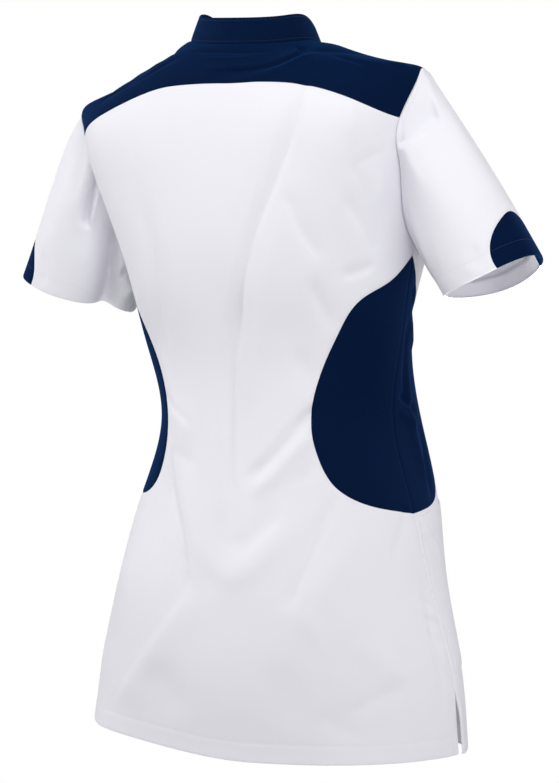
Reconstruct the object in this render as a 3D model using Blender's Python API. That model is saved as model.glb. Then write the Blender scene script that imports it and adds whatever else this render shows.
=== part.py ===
"""Short-sleeved medical jacket, worn form, metres, +Z up.

The origin lies between the wearer's shoulders, the front faces -Y and the wearer's left is +X.
Every pattern piece is a wall of cloth whose outline is drawn on one smooth body surface.
A place on that surface has two coordinates: turn, which is 0 at centre back, 1 at the side
seam and 2 at centre front (negative on the wearer's right), and level, which is the height
below the armholes and keeps rising along the cloth over the shoulders to the neck.
"""

from collections import namedtuple

import bpy
import numpy as np
from mathutils import Matrix, Vector
from mathutils.geometry import delaunay_2d_cdt

# Driving dimensions
CLOTH = 0.0015
COLLAR_CLOTH = 0.0020
SEAM_GAP = 0.0003
HEM_LEVEL = -0.690
HEM_DROP_AT_BACK = 0.004
VENT_TOP = -0.625
VENT_GAP = 0.0036
VENT_FLARE = 0.6
NECK_LEVEL = 0.105
ARMPIT_LEVEL = -0.186
OVERLAP = 0.06
PLACKET_LIFT = 0.00105
PLACKET_RISE = (1.78, 1.88)
COLLAR_HEIGHT = 0.027
COLLAR_LEAN_AT_BACK = 0.005
COLLAR_LEAN_AT_SIDE = 0.012
COLLAR_FRONT_GAP = 0.012
POCKET_LIFT = 0.0008
POCKET_CLOTH = 0.0013
STUD_COUNT = 7
STUD_TOP = -0.095
STUD_PITCH = 0.082
STUD_RADIUS = 0.0058
STUD_HEIGHT = 0.0022
STUD_SEAT = 0.0006
STUD_SIDES = 14
STUD_PROFILE = ((0.55, 1.0), (0.86, 0.86), (1.0, 0.45), (1.0, 0.0))

# How the jacket sits unevenly as worn: sizes, and the stretches over which they fade
LEFT_SHOULDER_DROP = 0.010
SHOULDER_FADE_X = (0.05, 0.20)
SHOULDER_FADE_Z = (-0.07, -0.025)
LEFT_HEM_RISE = 0.012
HEM_FADE_X = (-0.05, 0.15)
HEM_FADE_DEPTH = (0.45, 0.69)
NECK_TILT = 0.006
NECK_TILT_X = (0.065, 0.105)
NECK_TILT_Z = (-0.03, 0.015)
LEFT_CUFF_SHIFT = 0.007
CUFF_FADE_X = (0.215, 0.30)

# Spacing of the mesh: metres of cloth for one turn, and the sizes of its cells. A cell is
# 2/25 of a turn wide, so that both fronts have the same columns where they lap.
TURN_LENGTH = 0.24
CELL = (TURN_LENGTH * 2 / 25, 0.025)
SLEEVE_CELL = (0.019, 0.021)
NECK_TURN_LENGTH = 0.11
COLLAR_CELL = (0.012, COLLAR_HEIGHT / 2)
SEAM_STEP = 0.016
MOON_STEP = 0.0123
SHOULDER_STEP = 0.012
NECK_STEP = 0.010
ARMHOLE_LOW_STEPS = 12
ARMHOLE_YOKE_STEPS = 5
# A lattice point nearer an edge than this share of a cell is left out
LATTICE_CLEARANCE = 0.45
# Limits that keep a wall whole at a sharp corner of its outline and at a very slanted cut
SHARPEST_CORNER = 0.12
MOST_SLANT = 0.55

# Sections below the armholes. Each has the height, then the points passed by the cloth
# at centre back, back corner, side seam, front corner and centre front.
Section = namedtuple("Section", "height back_y corner_x corner_y side_x side_y chest_x chest_y front_y")
SECTIONS = (
    Section(-0.700, 0.147, 0.153, 0.108, 0.213, 0.002, 0.150, -0.079, -0.129),
    Section(-0.610, 0.136, 0.140, 0.106, 0.202, 0.000, 0.144, -0.083, -0.134),
    Section(-0.530, 0.124, 0.122, 0.104, 0.179, 0.001, 0.136, -0.086, -0.136),
    Section(-0.450, 0.106, 0.110, 0.083, 0.159, 0.002, 0.128, -0.098, -0.135),
    Section(-0.360, 0.093, 0.087, 0.0765, 0.1355, 0.000, 0.113, -0.090, -0.127),
    Section(-0.280, 0.106, 0.109, 0.075, 0.149, 0.006, 0.106, -0.075, -0.124),
    Section(-0.240, 0.117, 0.112, 0.090, 0.155, 0.006, 0.104, -0.080, -0.125),
    Section(-0.200, 0.126, 0.118, 0.100, 0.163, 0.008, 0.112, -0.089, -0.123),
)

# Levels above the armpits, where the cloth leans in over the shoulders, so that each
# point has its own height.
Level = namedtuple(
    "Level",
    "level back_y back_z corner_x corner_y corner_z side_x side_y side_z "
    "chest_x chest_y chest_z front_y front_z",
)
LEVELS = (
    Level(-0.120, 0.133, -0.120, 0.145, 0.112, -0.120, 0.184, 0.012, -0.120,
          0.132, -0.078, -0.120, -0.106, -0.130),
    Level(-0.055, 0.131, -0.055, 0.148, 0.120, -0.055, 0.201, 0.038, -0.066,
          0.145, -0.046, -0.074, -0.074, -0.096),
    Level(-0.015, 0.123, -0.018, 0.135, 0.105, -0.022, 0.2045, 0.059, -0.026,
          0.140, -0.006, -0.042, -0.054, -0.078),
    Level(0.005, 0.119, -0.011, 0.122, 0.100, -0.014, 0.184, 0.056, -0.019,
          0.127, -0.005, -0.035, -0.049, -0.073),
    Level(0.045, 0.111, 0.001, 0.096, 0.089, -0.002, 0.134, 0.048, -0.005,
          0.098, -0.004, -0.024, -0.040, -0.064),
    Level(0.110, 0.102, 0.011, 0.051, 0.080, 0.017, 0.066, 0.037, 0.022,
          0.050, -0.008, -0.012, -0.028, -0.050),
)

# Armhole, from the underarm round the back to the shoulder tip and down the front
Notch = namedtuple("Notch", "name turn level")
ARMHOLE = (
    Notch("underarm", 1.00, -0.186),
    Notch("back_low", 0.84, -0.158),
    Notch("back_middle", 0.762, -0.112),
    Notch("back_yoke", 0.768, -0.068),
    Notch("shoulder_tip", 1.00, -0.012),
    Notch("front_yoke", 1.26, -0.052),
    Notch("front_middle", 1.27, -0.108),
    Notch("front_low", 1.16, -0.160),
)
YOKE_BACK_NOTCH = 3 / 8
SHOULDER_TIP = 4 / 8
YOKE_FRONT_NOTCH = 5 / 8
YOKE_LEVEL_AT_BACK = -0.031
YOKE_FLAT_TURN = 0.15
YOKE_FRONT_NECK_TURN = 1.62

# Half-moon at each side of the waist: how far its edge lies from the side seam, in turns.
# The drape has drawn the left one further round at its foot.
Moon = namedtuple("Moon", "height back_right back_left front")
MOON = (
    Moon(-0.200, 0.000, 0.000, 0.000),
    Moon(-0.226, 0.145, 0.145, 0.130),
    Moon(-0.246, 0.330, 0.340, 0.290),
    Moon(-0.270, 0.440, 0.445, 0.375),
    Moon(-0.305, 0.506, 0.495, 0.420),
    Moon(-0.350, 0.505, 0.490, 0.420),
    Moon(-0.395, 0.490, 0.530, 0.410),
    Moon(-0.425, 0.450, 0.530, 0.375),
    Moon(-0.442, 0.340, 0.200, 0.285),
    Moon(-0.451, 0.175, 0.065, 0.150),
    Moon(-0.456, 0.000, 0.000, 0.000),
)

# Sleeve cuff: its centre, the outer point, and the half width from front to back
CUFF_CENTRE = (0.2563, 0.0188, -0.225)
CUFF_OUTER = (0.312, 0.034, -0.206)
CUFF_BACKWARD = (0.0, 0.0485, 0.0)
CUFF_SAG = (0.0, -0.0035, -0.006)
SLEEVE_GIRTH = 0.40
SLEEVE_LENGTH = 0.14
SLEEVE_FULLNESS = 0.003
SLEEVE_MOON_CENTRE = 0.475
SLEEVE_MOON_HALF_WIDTH = 0.140
SLEEVE_MOON_HEIGHT = 0.225
SLEEVE_MOON_STEPS = 14
SLEEVE_MOON_ROUNDNESS = 0.9

# Patch pocket on each front, under the half-moon: turn and height of its corners
POCKET_CORNERS = ((1.02, -0.460), (1.66, -0.436), (1.68, -0.590), (1.03, -0.612))

# Largest folds of the trunk: a straight run from start to end, with its half width and
# its depth, negative for a trough
Fold = namedtuple("Fold", "name start_turn start_level end_turn end_level width depth")
FOLDS = (
    Fold("hollow_of_the_back", -0.04, -0.200, -0.04, -0.490, 0.022, -0.0040),
    Fold("ridge_left_of_hollow", 0.12, -0.320, -0.02, -0.505, 0.020, 0.0026),
    Fold("bowl_under_hollow", -0.06, -0.530, -0.36, -0.450, 0.020, 0.0034),
    Fold("drag_from_right_waist", -0.48, -0.360, -0.12, -0.420, 0.018, 0.0030),
    Fold("drag_from_left_waist", 0.47, -0.350, 0.22, -0.380, 0.018, 0.0020),
    Fold("left_skirt_crease", 0.40, -0.410, 0.11, -0.555, 0.018, -0.0045),
    Fold("right_skirt_drag", -0.60, -0.440, -0.32, -0.550, 0.020, 0.0032),
    Fold("right_blade_drag", -0.32, -0.060, -0.13, -0.215, 0.020, -0.0022),
    Fold("left_hem_wave", 0.52, -0.540, 0.60, -0.710, 0.034, -0.0050),
    Fold("right_hem_wave", -0.50, -0.560, -0.55, -0.710, 0.034, -0.0045),
    Fold("left_front_bust_drag", 1.30, -0.190, 1.62, -0.260, 0.022, -0.0025),
    Fold("right_front_bust_drag", -1.32, -0.180, -1.66, -0.270, 0.022, -0.0028),
    Fold("left_front_skirt", 1.60, -0.440, 1.50, -0.700, 0.034, -0.0045),
    Fold("right_front_skirt", -1.56, -0.450, -1.62, -0.700, 0.034, -0.0050),
)
# Where a fold fades out at each end, as shares of its run
FOLD_FADE = (-0.12, 0.35)
# Largest folds of each sleeve, as place round it and share of the way to the cuff
SleeveFold = namedtuple("SleeveFold", "name start_place start_share end_place end_share width depth")
SLEEVE_FOLDS = {
    "left": (
        SleeveFold("underarm_fold", 0.13, 0.15, 0.055, 1.10, 0.014, -0.0050),
        SleeveFold("leaf_dent", 0.27, 0.10, 0.20, 0.55, 0.014, -0.0025),
        SleeveFold("front_drag", 0.74, 0.12, 0.86, 0.75, 0.016, -0.0030),
    ),
    "right": (
        SleeveFold("underarm_fold", 0.10, 0.15, 0.040, 1.10, 0.014, -0.0035),
        SleeveFold("head_dent", 0.45, 0.16, 0.31, 0.22, 0.013, -0.0030),
        SleeveFold("front_drag", 0.72, 0.12, 0.84, 0.75, 0.016, -0.0035),
    ),
}

WHITE = (0.80, 0.80, 0.85)
NAVY = (0.006, 0.016, 0.052)
STUD_WHITE = (0.72, 0.72, 0.74)


def clear_scene():
    """Empties the scene."""
    for obj in list(bpy.data.objects):
        bpy.data.objects.remove(obj)


def material(name, colour, roughness):
    """A plain Principled material."""
    made = bpy.data.materials.new(name)
    made.use_nodes = True
    shader = made.node_tree.nodes["Principled BSDF"]
    shader.inputs["Base Color"].default_value = (*colour, 1.0)
    shader.inputs["Roughness"].default_value = roughness
    shader.inputs["Metallic"].default_value = 0.0
    return made


def spline_slopes(knots, values):
    """Slopes of the natural cubic spline through values at knots, for each column."""
    count = len(knots)
    gap = np.diff(knots)
    system = np.zeros((count, count))
    right = np.zeros(values.shape)
    rise = np.diff(values, axis=0) / gap[:, None]
    system[0, :2] = 2, 1
    right[0] = 3 * rise[0]
    for i in range(1, count - 1):
        system[i, i - 1 : i + 2] = gap[i], 2 * (gap[i - 1] + gap[i]), gap[i - 1]
        right[i] = 3 * (gap[i] * rise[i - 1] + gap[i - 1] * rise[i])
    system[-1, -2:] = 1, 2
    right[-1] = 3 * rise[-1]
    return np.linalg.solve(system, right)


def ring_slopes(values):
    """Slopes of the closed cubic spline through evenly spaced values, along axis 0."""
    count = len(values)
    system = 4 * np.eye(count) + np.roll(np.eye(count), 1, 0) + np.roll(np.eye(count), -1, 0)
    flat = 3 * (np.roll(values, -1, 0) - np.roll(values, 1, 0)).reshape(count, -1)
    return np.linalg.solve(system, flat).reshape(values.shape)


def hermite(share, start, end, slope_start, slope_end):
    """Cubic between two values with given slopes, at share 0 to 1 of the interval."""
    a = share * share * (3 - 2 * share)
    b = share * (1 - share) ** 2
    c = share * share * (share - 1)
    return (1 - a) * start + a * end + b * slope_start + c * slope_end


def smooth_rise(value, start, end):
    """0 up to start, 1 from end on, and an even S between them."""
    share = np.clip((value - start) / (end - start), 0, 1)
    return share * share * (3 - 2 * share)


def body_table():
    """Knots of level, and at each the eight points round the body, as arrays."""
    rows = [
        (s.height, s.back_y, s.height, s.corner_x, s.corner_y, s.height, s.side_x, s.side_y,
         s.height, s.chest_x, s.chest_y, s.height, s.front_y, s.height)
        for s in SECTIONS
    ]
    table = np.array(rows + [tuple(level) for level in LEVELS])
    knots = table[:, 0]
    back, corner, side = table[:, 1:3], table[:, 3:6], table[:, 6:9]
    chest, front = table[:, 9:12], table[:, 12:14]
    mirror = np.array((-1, 1, 1))
    middle = [np.insert(column, 0, 0, axis=1) for column in (back, front)]
    ring = [middle[0], corner, side, chest, middle[1], chest * mirror, side * mirror, corner * mirror]
    return knots, np.stack(ring, axis=1)


KNOTS, RING = body_table()
RING_SLOPES = spline_slopes(KNOTS, RING.reshape(len(KNOTS), -1)).reshape(RING.shape)
RING_SYSTEM = ring_slopes(np.eye(8))


def smooth_body(turn, level):
    """Points of the body surface without its folds.

    Eight points of a ring at this level come from splines up the body, and a closed spline
    round the ring gives the point at this turn.
    """
    turn, level = np.broadcast_arrays(np.asarray(turn, float), np.asarray(level, float))
    row = np.clip(np.searchsorted(KNOTS, level, "right") - 1, 0, len(KNOTS) - 2)
    gap = (KNOTS[row + 1] - KNOTS[row])[..., None, None]
    share = (level - KNOTS[row])[..., None, None] / gap
    ring = hermite(share, RING[row], RING[row + 1], RING_SLOPES[row] * gap, RING_SLOPES[row + 1] * gap)
    slopes = np.einsum("ij,...jk->...ik", RING_SYSTEM, ring)
    place = (turn * 2) % 8
    first = np.floor(place).astype(int) % 8
    share = (place - np.floor(place))[..., None]
    pick = lambda array, index: np.take_along_axis(array, index[..., None, None], -2)[..., 0, :]
    after = (first + 1) % 8
    return hermite(share, pick(ring, first), pick(ring, after), pick(slopes, first), pick(slopes, after))


def normals(surface, u, v, step=0.002):
    """Outward unit normals of a surface whose u runs to the left seen from outside."""
    across = surface(u + step, v) - surface(u - step, v)
    along = surface(u, v + step) - surface(u, v - step)
    cross = np.cross(along, across)
    return cross / np.linalg.norm(cross, axis=-1, keepdims=True)


def relief(folds, u, v, u_length, v_length):
    """Height of the folds: a bell across each run, which fades out at both ends."""
    total = np.zeros(np.broadcast(u, v).shape)
    for fold in folds:
        start = np.array((fold[1] * u_length, fold[2] * v_length))
        run = np.array((fold[3] * u_length, fold[4] * v_length)) - start
        length = np.hypot(*run)
        along = ((u * u_length - start[0]) * run[0] + (v * v_length - start[1]) * run[1]) / length**2
        across = ((u * u_length - start[0]) * run[1] - (v * v_length - start[1]) * run[0]) / length
        fade = smooth_rise(np.minimum(along, 1 - along), *FOLD_FADE)
        total = total + fold.depth * fade * np.exp(-((across / fold.width) ** 2))
    return total


def body(turn, level):
    """Points of the body surface with its folds."""
    turn, level = np.broadcast_arrays(np.asarray(turn, float), np.asarray(level, float))
    height = relief(FOLDS, turn, level, TURN_LENGTH, 1.0)
    return smooth_body(turn, level) + normals(smooth_body, turn, level) * height[..., None]


def armhole(place):
    """Turn and level on the wearer's left armhole, at place 0 to 1 from the underarm."""
    table = np.array([(notch.turn, notch.level) for notch in ARMHOLE])
    slopes = ring_slopes(table)
    place = np.asarray(place, float) % 1 * len(table)
    first = np.floor(place).astype(int) % len(table)
    after = (first + 1) % len(table)
    share = (place - np.floor(place))[..., None]
    return hermite(share, table[first], table[after], slopes[first], slopes[after])


def cuff(place):
    """Points of the left cuff: an ellipse that starts at the underarm and turns to the back."""
    centre = np.array(CUFF_CENTRE)
    half = np.array(CUFF_OUTER) - centre
    angle = 2 * np.pi * np.asarray(place, float)[..., None]
    ellipse = centre - half * np.cos(angle) + np.array(CUFF_BACKWARD) * np.sin(angle)
    return ellipse + np.array(CUFF_SAG) * np.sin(angle) ** 2


def sleeve(place, share):
    """Points of the left sleeve: straight lines from armhole to cuff, with some fullness."""
    place, share = np.broadcast_arrays(np.asarray(place, float), np.asarray(share, float))
    seam = armhole(place)
    line = body(seam[..., 0], seam[..., 1])
    line = line + (cuff(place) - line) * share[..., None]
    root = body(*armhole(np.arange(8) / 8).T).mean(axis=0)
    outward = line - root - (np.array(CUFF_CENTRE) - root) * share[..., None]
    outward /= np.linalg.norm(outward, axis=-1, keepdims=True)
    return line + outward * (SLEEVE_FULLNESS * np.sin(np.pi * np.clip(share, 0, 1)))[..., None]


def sleeve_normals(place, share):
    """Outward unit normals of the left sleeve."""
    return -normals(sleeve, place, share)


def folded_sleeve(folds, place, share):
    """Points of the left sleeve with some folds, which start clear of the armhole."""
    height = relief(folds, place, share, SLEEVE_GIRTH, SLEEVE_LENGTH)
    height = height + relief(folds, place - 1, share, SLEEVE_GIRTH, SLEEVE_LENGTH)
    height = height * smooth_rise(share, 0.0, 0.2)
    return sleeve(place, share) + sleeve_normals(place, share) * height[..., None]


def body_normals(turn, level):
    """Outward unit normals of the trunk."""
    return normals(body, turn, level)


def collar(turn, share):
    """Points of the stand collar: up from the neck edge and a little inward."""
    turn, share = np.broadcast_arrays(np.asarray(turn, float), np.asarray(share, float))
    base = body(turn, np.full(turn.shape, NECK_LEVEL))
    neck_centre = 0.5 * (body(0.0, NECK_LEVEL) + body(2.0, NECK_LEVEL))
    inward = (neck_centre - base) * np.array((1, 1, 0))
    inward /= np.linalg.norm(inward, axis=-1, keepdims=True)
    sideways = np.sin(turn * np.pi / 2) ** 2
    lean = COLLAR_LEAN_AT_BACK + (COLLAR_LEAN_AT_SIDE - COLLAR_LEAN_AT_BACK) * sideways
    rise = np.array((0, 0, COLLAR_HEIGHT)) + inward * lean[..., None]
    return base + rise * share[..., None]


def collar_normals(turn, share):
    """Outward unit normals of the collar."""
    return normals(collar, turn, share)


def mean_direction(first, second):
    """Unit vectors halfway between two sets of unit vectors."""
    total = first + second
    return total / np.linalg.norm(total, axis=-1, keepdims=True)


def line(start, end, length=(TURN_LENGTH, 1.0), step=SEAM_STEP):
    """Rows of a straight seam; a row is u, v and the direction of the cut, or nan."""
    start, end = np.array(start), np.array(end)
    count = max(1, round(np.hypot(*((end - start) * length)) / step))
    share = np.linspace(0, 1, count + 1)[:, None]
    return rows(start + (end - start) * share)


def rows(places, cut=None):
    """Rows of a seam from its places and, where two walls meet at an angle, its cut."""
    free = np.full((len(places), 3), np.nan)
    return np.hstack((places, free if cut is None else cut))


def joined(*parts):
    """One outline from seams end to end. A shared end keeps the row that has a cut."""
    out = []
    for part in parts:
        for row in part:
            if out and np.allclose(out[-1][:2], row[:2], atol=1e-7):
                if np.isnan(out[-1][2]):
                    out[-1] = row
            else:
                out.append(row)
    if np.allclose(out[0][:2], out[-1][:2], atol=1e-7):
        last = out.pop()
        if np.isnan(out[0][2]):
            out[0] = last
    return np.array(out)


def other_side(part):
    """The same seam on the wearer's right, in the opposite order."""
    return part[::-1] * np.array((-1, 1, -1, 1, 1))


def armhole_cut(place):
    """Direction in which both walls are cut where the sleeve meets the trunk."""
    seam = armhole(place)
    return mean_direction(body_normals(seam[:, 0], seam[:, 1]), sleeve_normals(place, 0 * place))


def armhole_run(start, end, count):
    """Rows of the left armhole from one place to another, as turn and level."""
    place = np.linspace(start, end, count + 1)
    return rows(armhole(place), armhole_cut(place))


def head_run(start, end, count):
    """Rows of the left sleeve head along the same stretch, as place and share."""
    place = np.linspace(start, end, count + 1)
    return rows(np.stack((place, 0 * place), axis=1), armhole_cut(place))


def neck_run(start, end):
    """Rows of the neck edge from one turn to another."""
    count = max(1, round(abs(end - start) * NECK_TURN_LENGTH / NECK_STEP))
    turn = np.linspace(start, end, count + 1)
    level = np.full(turn.shape, NECK_LEVEL)
    cut = mean_direction(body_normals(turn, level), collar_normals(turn, 0 * turn))
    return rows(np.stack((turn, level), axis=1), cut)


def moon_edge(column):
    """Rows of one edge of the half-moon, from bottom to top, on the left side."""
    table = np.array([(getattr(moon, column), moon.height) for moon in MOON])[::-1]
    steps = np.hypot(*(np.diff(table, axis=0) * (TURN_LENGTH, 1.0)).T)
    knots = np.insert(np.cumsum(steps), 0, 0)
    slopes = spline_slopes(knots, table)
    along = np.linspace(0, knots[-1], round(knots[-1] / MOON_STEP) + 1)
    first = np.clip(np.searchsorted(knots, along, "right") - 1, 0, len(knots) - 2)
    gap = (knots[first + 1] - knots[first])[:, None]
    share = (along - knots[first])[:, None] / gap
    edge = hermite(share, table[first], table[first + 1], slopes[first] * gap, slopes[first + 1] * gap)
    edge[:, 0] = 1 + edge[:, 0] * (1 if column == "front" else -1)
    return rows(edge)


def hem_run(start, end):
    """Rows of the hem, which drops a little at centre back."""
    part = line((start, 0.0), (end, 0.0))
    part[:, 1] = HEM_LEVEL - HEM_DROP_AT_BACK * np.cos(np.clip(part[:, 0], -1, 1) * np.pi / 2) ** 2
    return part


def vent_run(towards):
    """Rows up one edge of the side vent, from the hem to the seam above it."""
    part = line((1.0, HEM_LEVEL), (1.0, VENT_TOP))
    part[:, 0] += towards * VENT_GAP / 2 / TURN_LENGTH * np.linspace(1, 0, len(part)) ** VENT_FLARE
    return part


def yoke_run_back():
    """Rows of the back yoke seam from the right armhole to the left one."""
    end = armhole(YOKE_BACK_NOTCH)
    part = line((-end[0], 0.0), (end[0], 0.0))
    drop = smooth_rise(np.abs(part[:, 0]), YOKE_FLAT_TURN, end[0])
    part[:, 1] = YOKE_LEVEL_AT_BACK + (end[1] - YOKE_LEVEL_AT_BACK) * drop
    return part


def inside(points, outline):
    """Whether each point lies within a closed outline."""
    start, end = outline, np.roll(outline, -1, 0)
    x, y = points[:, :1], points[:, 1:]
    crosses = (start[:, 1] > y) != (end[:, 1] > y)
    rise = np.where(end[:, 1] == start[:, 1], 1e-12, end[:, 1] - start[:, 1])
    reach = start[:, 0] + (y - start[:, 1]) * (end[:, 0] - start[:, 0]) / rise
    return (crosses & (x < reach)).sum(axis=1) % 2 == 1


def edge_distance(points, outline):
    """Distance of each point from a closed outline."""
    start, run = outline, np.roll(outline, -1, 0) - outline
    offset = points[:, None] - start
    share = np.clip((offset * run).sum(axis=2) / (run**2).sum(axis=1), 0, 1)
    return np.linalg.norm(offset - share[..., None] * run, axis=2).min(axis=1)


def triangulate(outline, length, cell):
    """Places and triangles that fill an outline, with a lattice of the given cell inside."""
    flat = outline * length
    low = np.floor(flat.min(axis=0) / cell)
    high = np.ceil(flat.max(axis=0) / cell)
    columns, levels = np.meshgrid(np.arange(low[0], high[0] + 1), np.arange(low[1], high[1] + 1))
    lattice = np.stack((columns.ravel(), levels.ravel()), axis=1) * cell
    lattice = lattice[inside(lattice, flat)]
    lattice = lattice[edge_distance(lattice, flat) > LATTICE_CLEARANCE * min(cell)]
    points = [Vector(point) for point in np.vstack((flat, lattice))]
    result = delaunay_2d_cdt(points, [], [list(range(len(flat)))], 1, 1e-7)
    places = np.array([tuple(point) for point in result[0]])
    return places / length, np.array(result[2])


def posed(points):
    """The points as worn: left shoulder low, left hem and left of the neck high, left cuff in."""
    x, z = points[:, 0], points[:, 2]
    shoulder = smooth_rise(x, *SHOULDER_FADE_X) * smooth_rise(z, *SHOULDER_FADE_Z)
    hem = smooth_rise(x, *HEM_FADE_X) * smooth_rise(-z, *HEM_FADE_DEPTH)
    beside_neck = 1 - smooth_rise(np.abs(x), *NECK_TILT_X)
    neck = np.clip(x / NECK_TILT_X[0], -1, 1) * beside_neck * smooth_rise(z, *NECK_TILT_Z)
    lift = LEFT_HEM_RISE * hem - LEFT_SHOULDER_DROP * shoulder + NECK_TILT * neck
    shift = LEFT_CUFF_SHIFT * smooth_rise(x, *CUFF_FADE_X)
    return points + np.stack((-shift, 0 * lift, lift), axis=1)


def wall(points, direction, cut, faces, thickness):
    """Vertices and faces of a closed wall behind an open surface.

    Each free edge is drawn in by half a seam gap. There the wall is cut along the given
    direction, or square to the surface where that is nan.
    """
    used = np.unique(faces)
    index = np.full(len(points), -1)
    index[used] = np.arange(len(used))
    points, direction, cut, faces = points[used], direction[used], cut[used], index[faces]
    corner = points[faces]
    facing = np.cross(corner[:, 1] - corner[:, 0], corner[:, 2] - corner[:, 0])
    if (facing * direction[faces[:, 0]]).sum() < 0:
        faces = faces[:, ::-1]
    edges = np.concatenate((faces[:, (0, 1)], faces[:, (1, 2)], faces[:, (2, 0)]))
    present = set(map(tuple, edges))
    free = np.array([edge for edge in edges if (edge[1], edge[0]) not in present])
    lean = np.where(np.isnan(cut), direction, cut)
    run = points[free[:, 1]] - points[free[:, 0]]
    run /= np.linalg.norm(run, axis=1, keepdims=True)
    before, after = np.zeros(points.shape), np.zeros(points.shape)
    before[free[:, 1]] = np.cross(lean[free[:, 1]], run)
    after[free[:, 0]] = np.cross(lean[free[:, 0]], run)
    rim = np.unique(free)
    sharpness = np.maximum(1 + (before[rim] * after[rim]).sum(axis=1, keepdims=True), SHARPEST_CORNER)
    outer = points.copy()
    outer[rim] += (before[rim] + after[rim]) / sharpness * SEAM_GAP / 2
    slant = np.maximum((lean * direction).sum(axis=1, keepdims=True), MOST_SLANT)
    inner = outer - lean / slant * thickness
    count = len(outer)
    sides = [(b, a, a + count, b + count) for a, b in free]
    shell = faces.tolist() + (faces[:, ::-1] + count).tolist() + sides
    return posed(np.vstack((outer, inner))), shell


def add_object(name, points, faces, finish, smooth_angle=0.7):
    """A named object with one material, smooth but for its edges."""
    mesh = bpy.data.meshes.new(name)
    mesh.from_pydata(points.tolist(), [], faces)
    mesh.materials.append(finish)
    mesh.shade_smooth()
    mesh.set_sharp_from_angle(angle=smooth_angle)
    mesh.validate()
    obj = bpy.data.objects.new(name, mesh)
    bpy.context.scene.collection.objects.link(obj)
    return obj


def trunk_piece(name, outline, finish, lift=None, thickness=CLOTH):
    """A pattern piece of the trunk as a wall, lifted off the body where lift says."""
    places, faces = triangulate(outline[:, :2], (TURN_LENGTH, 1.0), np.array(CELL))
    direction = body_normals(places[:, 0], places[:, 1])
    points = body(places[:, 0], places[:, 1])
    cut = np.full(points.shape, np.nan)
    cut[: len(outline)] = outline[:, 2:]
    if lift is not None:
        lean = np.where(np.isnan(cut), direction, cut)
        slant = (lean * direction).sum(axis=1, keepdims=True)
        points = points + lean / slant * lift(places)[:, None]
    return add_object(name, *wall(points, direction, cut, faces, thickness), finish)


def placket_lift(sign):
    """Lift of a front near its edge: outward on the lapping side, inward on the other."""

    def lift(places):
        return sign * PLACKET_LIFT * smooth_rise(np.abs(places[:, 0]), *PLACKET_RISE)

    return lift


def make_trunk(white, navy):
    """Back, yoke, fronts and the four half-moon pieces."""
    top, bottom = MOON[0].height, MOON[-1].height
    seam_low = line((1.0, VENT_TOP), (1.0, bottom))
    seam_middle = line((1.0, bottom), (1.0, top))
    seam_high = line((1.0, top), (1.0, ARMPIT_LEVEL))
    vent_back, vent_front = vent_run(-1), vent_run(1)
    back_low = armhole_run(0.0, YOKE_BACK_NOTCH, ARMHOLE_LOW_STEPS)
    back_high = armhole_run(YOKE_BACK_NOTCH, SHOULDER_TIP, ARMHOLE_YOKE_STEPS)
    front_high = armhole_run(SHOULDER_TIP, YOKE_FRONT_NOTCH, ARMHOLE_YOKE_STEPS)
    front_low = armhole_run(YOKE_FRONT_NOTCH, 1.0, ARMHOLE_LOW_STEPS)
    yoke_back = yoke_run_back()
    yoke_front = line(armhole(YOKE_FRONT_NOTCH), (YOKE_FRONT_NECK_TURN, NECK_LEVEL), step=SHOULDER_STEP)
    neck_back = neck_run(-YOKE_FRONT_NECK_TURN, YOKE_FRONT_NECK_TURN)
    neck_front = neck_run(YOKE_FRONT_NECK_TURN, 2.0)
    neck_lap = neck_run(2.0, 2.0 + OVERLAP)

    edges = {
        column: joined(vent_back, seam_low, moon_edge(column), seam_high, back_low)
        for column in ("back_left", "back_right")
    }
    hem = hem_run(-vent_back[0, 0], vent_back[0, 0])
    back = joined(hem, edges["back_left"], yoke_back[::-1], other_side(edges["back_right"]))
    trunk_piece("back", back, white)
    shoulder = joined(back_high, front_high, yoke_front)
    trunk_piece("yoke", joined(yoke_back, shoulder, neck_back[::-1], other_side(shoulder)), navy)
    front_edge = line((2.0 + OVERLAP, HEM_LEVEL), (2.0 + OVERLAP, NECK_LEVEL))
    front = joined(
        hem_run(vent_front[0, 0], 2.0 + OVERLAP), front_edge, neck_lap[::-1], neck_front[::-1],
        yoke_front[::-1], front_low, seam_high[::-1], moon_edge("front")[::-1], seam_low[::-1],
        vent_front[::-1],
    )
    side_front = joined(moon_edge("front"), seam_middle[::-1])
    for side, turned in (("left", lambda part: part), ("right", other_side)):
        lap = placket_lift(-1 if side == "left" else 1)
        side_back = joined(seam_middle, moon_edge("back_" + side)[::-1])
        trunk_piece("front_" + side, turned(front), white, lift=lap)
        trunk_piece("side_back_" + side, turned(side_back), navy)
        trunk_piece("side_front_" + side, turned(side_front), navy)


def make_collar(navy):
    """Stand collar round the neck, open at centre front."""
    end = 2.0 - COLLAR_FRONT_GAP
    shoulder = YOKE_FRONT_NECK_TURN
    neck = joined(neck_run(-end, -shoulder), neck_run(-shoulder, shoulder), neck_run(shoulder, end))
    lower = neck.copy()
    lower[:, 1] = 0
    upper = rows(np.stack((neck[::-1, 0], np.ones(len(neck))), axis=1))
    ends = [rows(np.array(((side * end, 0.5),))) for side in (1, -1)]
    outline = joined(lower, ends[0], upper, ends[1])
    places, faces = triangulate(outline[:, :2], (NECK_TURN_LENGTH, COLLAR_HEIGHT), np.array(COLLAR_CELL))
    points = collar(places[:, 0], places[:, 1])
    direction = collar_normals(places[:, 0], places[:, 1])
    cut = np.full(points.shape, np.nan)
    cut[: len(outline)] = outline[:, 2:]
    add_object("collar", *wall(points, direction, cut, faces, COLLAR_CLOTH), navy)


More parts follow.
